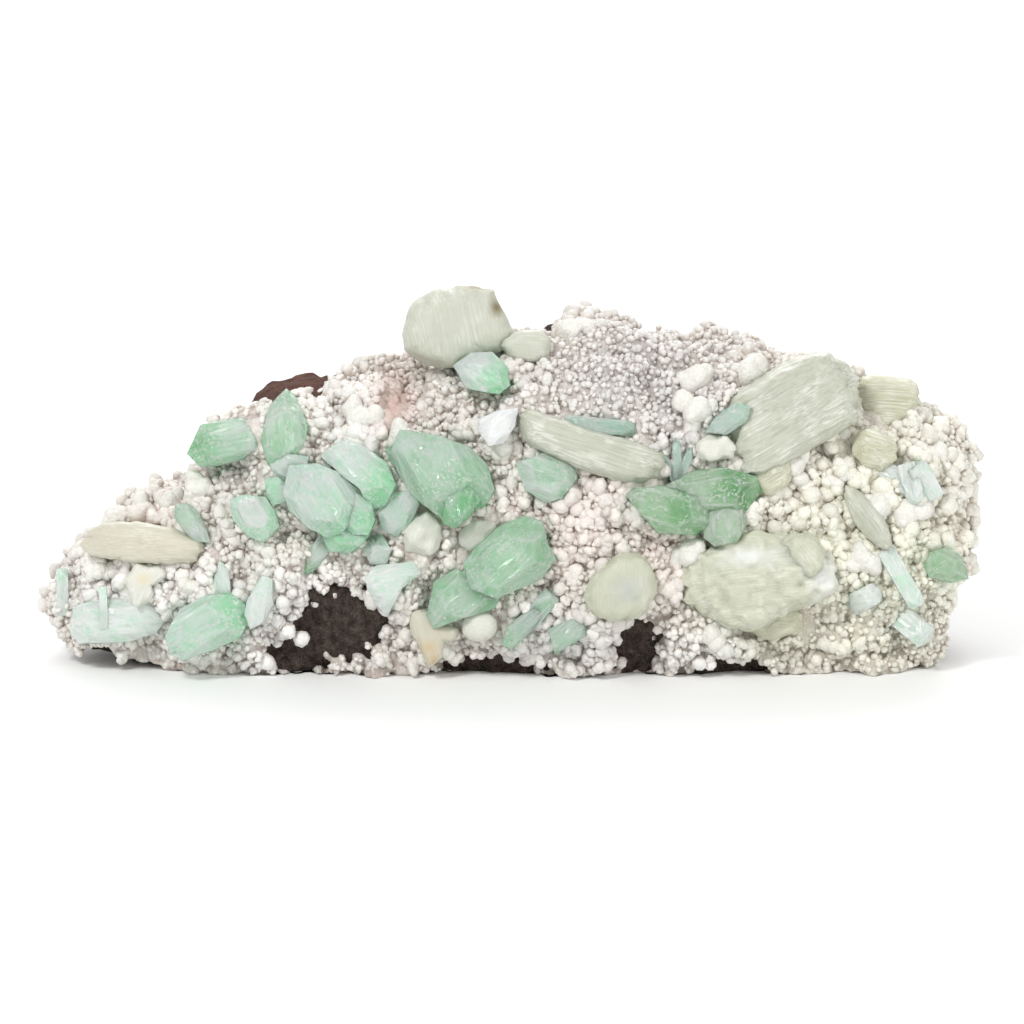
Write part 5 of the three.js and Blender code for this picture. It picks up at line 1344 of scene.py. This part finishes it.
def tubeRings(c):
    # Oval tube whose half width and depth go through a start, a middle and an end value, times
    # (1 - |2 s - 1|^3)^(1/3) so that both ends are round.
    spacing, power = stilbite["spacing"], stilbite["sectionPower"]
    length, widest = c["length"], max(c["widths"])
    columns = int(2 * math.pi * widest / spacing * 0.8) // 2 * 2
    angle = np.arange(columns) / columns * 2 * math.pi
    s = (1 - np.cos(np.linspace(0.01, 0.99, int(length / spacing) + 6) * math.pi)) / 2
    share = (1 - np.abs(2 * s - 1) ** 3) ** (1 / 3)
    width, depth = (v[0] * (1 - s) * (1 - 2 * s) + v[1] * 4 * s * (1 - s) + v[2] * s * (2 * s - 1)
                    for v in (c["widths"], c["depths"]))
    reach = (np.abs(np.cos(angle)) ** power + np.abs(np.sin(angle)) ** power) ** (-1 / power)
    x = (width * share)[:, None] * reach * np.cos(angle)
    y = (depth * share)[:, None] * reach * np.sin(angle) * 1.12
    return np.stack([x, y, np.broadcast_to(s[:, None] * length, x.shape)], -1)


def pillowLevels(c):
    # Rows of a pillow: |share|^n + |height / full height|^n = 1 above the seat.
    root, height, n = c.get("root", 5), c["height"], stilbite["pillow"]
    angle = np.radians(np.linspace(0, 90, 15))
    share, rise = np.cos(angle) ** (2 / n), np.sin(angle) ** (2 / n)
    top = [(height * r, max(s, 0.03)) for r, s in zip(rise, share)]
    return [(-root, 0.05), (-root, 0.8), *top]


def bladed(rings, along, side, c, seed):
    # blades along the sheaf: their heights step across it and their ends stand out unevenly
    half = np.abs(along).max()
    strand = np.stack([side, rings[..., 2] * 0.6, along * 0.03], -1) + seed * 13.7
    blades = cloud(strand, stilbite["blade"], 21) * 4
    step = np.floor(blades) + eased(blades - np.floor(blades), 0.8, 0.98) - 1.5
    lines = cloud(strand * (1, 1, 0.6), 1.0, 22) - 0.5
    lump = cloud(rings + seed, 5, 23) - 0.5
    grain = cloud(rings + seed, 1.7, 24) + 0.5 * cloud(rings - seed, 3.1, 25) - 0.75
    relief = (c["steps"] * 0.5 * step + stilbite["striation"] * (1 if c["steps"] else 0.4) * lines * 2
              + (0.6 if "outline" in c else 0.3) * lump + c.get("grit", 0.1) * grain)
    stand = c["ragged"] * np.clip(step + 1.6 * lines, -1.5, 1) * 0.4
    stand = stand * np.sign(along) * eased(np.abs(along) / half, 0.5, 0.95)
    return relief, stand


def stilbiteShell(c, seed):
    # one sheaf in the specimen's frame, with its place along and across the blades
    if "outline" in c:
        local, centre, _, _ = outlineRings(c, pillowLevels(c), stilbite["spacing"], 0.25, seed, True)
        along, side = turnedPlace(local, centre, c["turn"])
        relief, stand = bladed(local, along, side, c, seed)
        local = local + gridNormals(local) * relief[..., None]
        t = math.radians(c["turn"])
        local[..., 0] += stand * math.cos(t)
        local[..., 1] += stand * math.sin(t)
        rings = onPlane(local[..., 0], local[..., 1], local[..., 2])
        deep = local[..., 2]
    else:
        local = tubeRings(c)
        along, side = local[..., 2] - c["length"] / 2, local[..., 0]
        relief, stand = bladed(local, along, side, c, seed)
        local = local + gridNormals(local) * relief[..., None]
        local[..., 2] += stand
        turned, origin = turnedFrame(c)
        rings, deep = local @ turned + origin, local[..., 1]
    stain = np.zeros(along.shape)
    for across, up, wide, high in c.get("stains", ()):
        bell = np.exp(-((rings[..., 0] - across) / wide) ** 2 - ((upOf(rings) - up) / high) ** 2)
        stain = np.maximum(stain, bell)
    strand = np.stack([side * 3.4, along * 0.05, deep * 2.4 + seed * 9.0], -1)
    return tubeShell(rings, {"strand": strand, "stain": stain})


def stilbiteMaterial(name, look):
    # cream sheaf: paler streaks along it, light spreading inside, a pearly coat and a painted white sheen on
    # the streaks
    material, tree = newMaterial("stilbite_" + name)
    streaks = noiseOn(tree, readAttribute(tree, "strand", "Vector"), 1.0, 4.0)
    paler = spanned(tree, streaks, 0.4, 0.62)
    patches = mottled(tree, *stilbite["patches"])
    # painted sheen: white patches on the paler streaks
    paintedSheen = combine(tree, "MULTIPLY", mottled(tree, *stilbite["paintedSheen"]),
                    mixValues(tree, paler, 0.0, look["paintedSheen"]))
    colour = look["body"]
    for mask, other in ((paler, look["streak"]), (mixValues(tree, patches, 0.0, 0.35), look["streak"]),
                        (paintedSheen, stilbite["paintedSheenColour"]), (readAttribute(tree, "stain"), look["stain"])):
        colour = mixColours(tree, mask, colour, other)
    grain = placeGroup(tree, grainGroup, Coarse_Scale=1100.0, Fine_Scale=3600.0, Strength=0.3,
                       Distance=0.0002)
    return finishMaterial(material, {
        "Base Color": colour, "Roughness": mixValues(tree, patches, look["rough"], look["rough"] + 0.2),
        "IOR": 1.5, "Subsurface Weight": look["inside"], "Subsurface Scale": stilbite["inside"],
        "Subsurface Radius": (1.0, 0.95, 0.7), "Coat Roughness": 0.2,
        "Coat Weight": mixValues(tree, paler, 0.0, 0.5 * look["lines"]),
        "Normal": bumped(tree, streaks, 0.6 * look["lines"], 0.0003, grain["Normal"])})


def makeStilbites():
    # one material for each finish and one piece for each node
    materials = {name: stilbiteMaterial(name, look) for name, look in stilbiteColours.items()}
    finishes = {node: finish for finish, names in stilbiteFinish.items() for node in names}
    for n, (node, sheaves) in enumerate(stilbites.items()):
        shells = [stilbiteShell(c, n * 5 + m * 3 + 2) for m, c in enumerate(sheaves)]
        makePiece(node + "_sheaf", shells, materials[finishes.get(node, "cream")],
                  ("stilbite_" + node,), stilbite["crisp"])


makeCrust()
makeBasalt()
makeApophyllites()
makeStilbites()


studio = {
    "distance": 1126.0,  # mm from the middle of the view
    "lens": 180.0,
    "middle": (0.22, 36.7),  # across and up of the middle of the view
    "world": (0.88, 0.5),  # brightness behind the specimen, and in front of it and overhead
    "floor": (0.93, 0.93, 0.925),
    # name, place and aim in mm, width in mm, watts
    "lamps": [("key", (-420, -620, 760), (0, 0, 36), 210, 5.4),
              ("fill", (620, -520, 420), (0, 0, 36), 420, 2.2),
              ("back", (80, 620, 620), (0, 0, 36), 300, 1.4),
              ("far", (0, 2300, 1500), (0, 2000, 0), 2600, 36)],
}


def makeStudio():
    # camera straight on the display plane, area lamps, a grey world and a pale floor
    scene = bpy.context.scene
    target = (onPlane(*studio["middle"], 0) + centreShift) * millimetre
    camera = bpy.data.objects.new("camera", bpy.data.cameras.new("camera"))
    camera.data.lens = studio["lens"]
    camera.data.sensor_width = 36.0
    camera.data.clip_end = 20.0
    camera.location = target + outAxis * studio["distance"] * millimetre
    camera.rotation_euler = (math.radians(90) - faceLean, 0, 0)
    scene.collection.objects.link(camera)
    scene.camera = camera
    for name, place, aim, width, power in studio["lamps"]:
        lamp = bpy.data.objects.new(name, bpy.data.lights.new(name, "AREA"))
        lamp.data.size = width * millimetre
        lamp.data.energy = power
        lamp.location = Vector(place) * millimetre
        way = Vector(aim) - Vector(place)
        lamp.rotation_euler = way.to_track_quat("-Z", "Y").to_euler()
        scene.collection.objects.link(lamp)
    world = bpy.data.worlds.new("studio")
    world.use_nodes = True
    tree = world.node_tree
    parts = addNode(tree, "SeparateXYZ", {0: addNode(tree, "TexCoord").outputs["Generated"]})
    fade = spanned(tree, parts.outputs["Y"], 0.75, 0.0, *studio["world"])
    plug(tree, tree.nodes["Background"], {"Strength": fade, "Color": (1, 1, 1, 1)})
    scene.world = world
    scene.view_settings.view_transform = "Standard"
    mesh = bpy.data.meshes.new("floor")
    far = 4.0
    mesh.from_pydata([(-far, -far, 0), (far, -far, 0), (far, far, 0), (-far, far, 0)], [], [(0, 1, 2, 3)])
    floor = bpy.data.objects.new("floor", mesh)
    floor.location = (0, 0, -0.0001)
    material, tree = newMaterial("floor")
    paper = mixColours(tree, mottled(tree, 3.0, 2.0, 0.3, 0.7), studio["floor"],
                       tuple(v * 1.02 for v in studio["floor"]))
    mesh.materials.append(finishMaterial(material, {
        "Base Color": paper, "Roughness": 0.7, "Specular IOR Level": 0.2}))
    scene.collection.objects.link(floor)
    floor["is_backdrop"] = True


makeStudio()
print("studio ready")

boxes = {"cad": cadBox, "visual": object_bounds()}
boxes = {name: [list(corner) for corner in box] for name, box in boxes.items()}
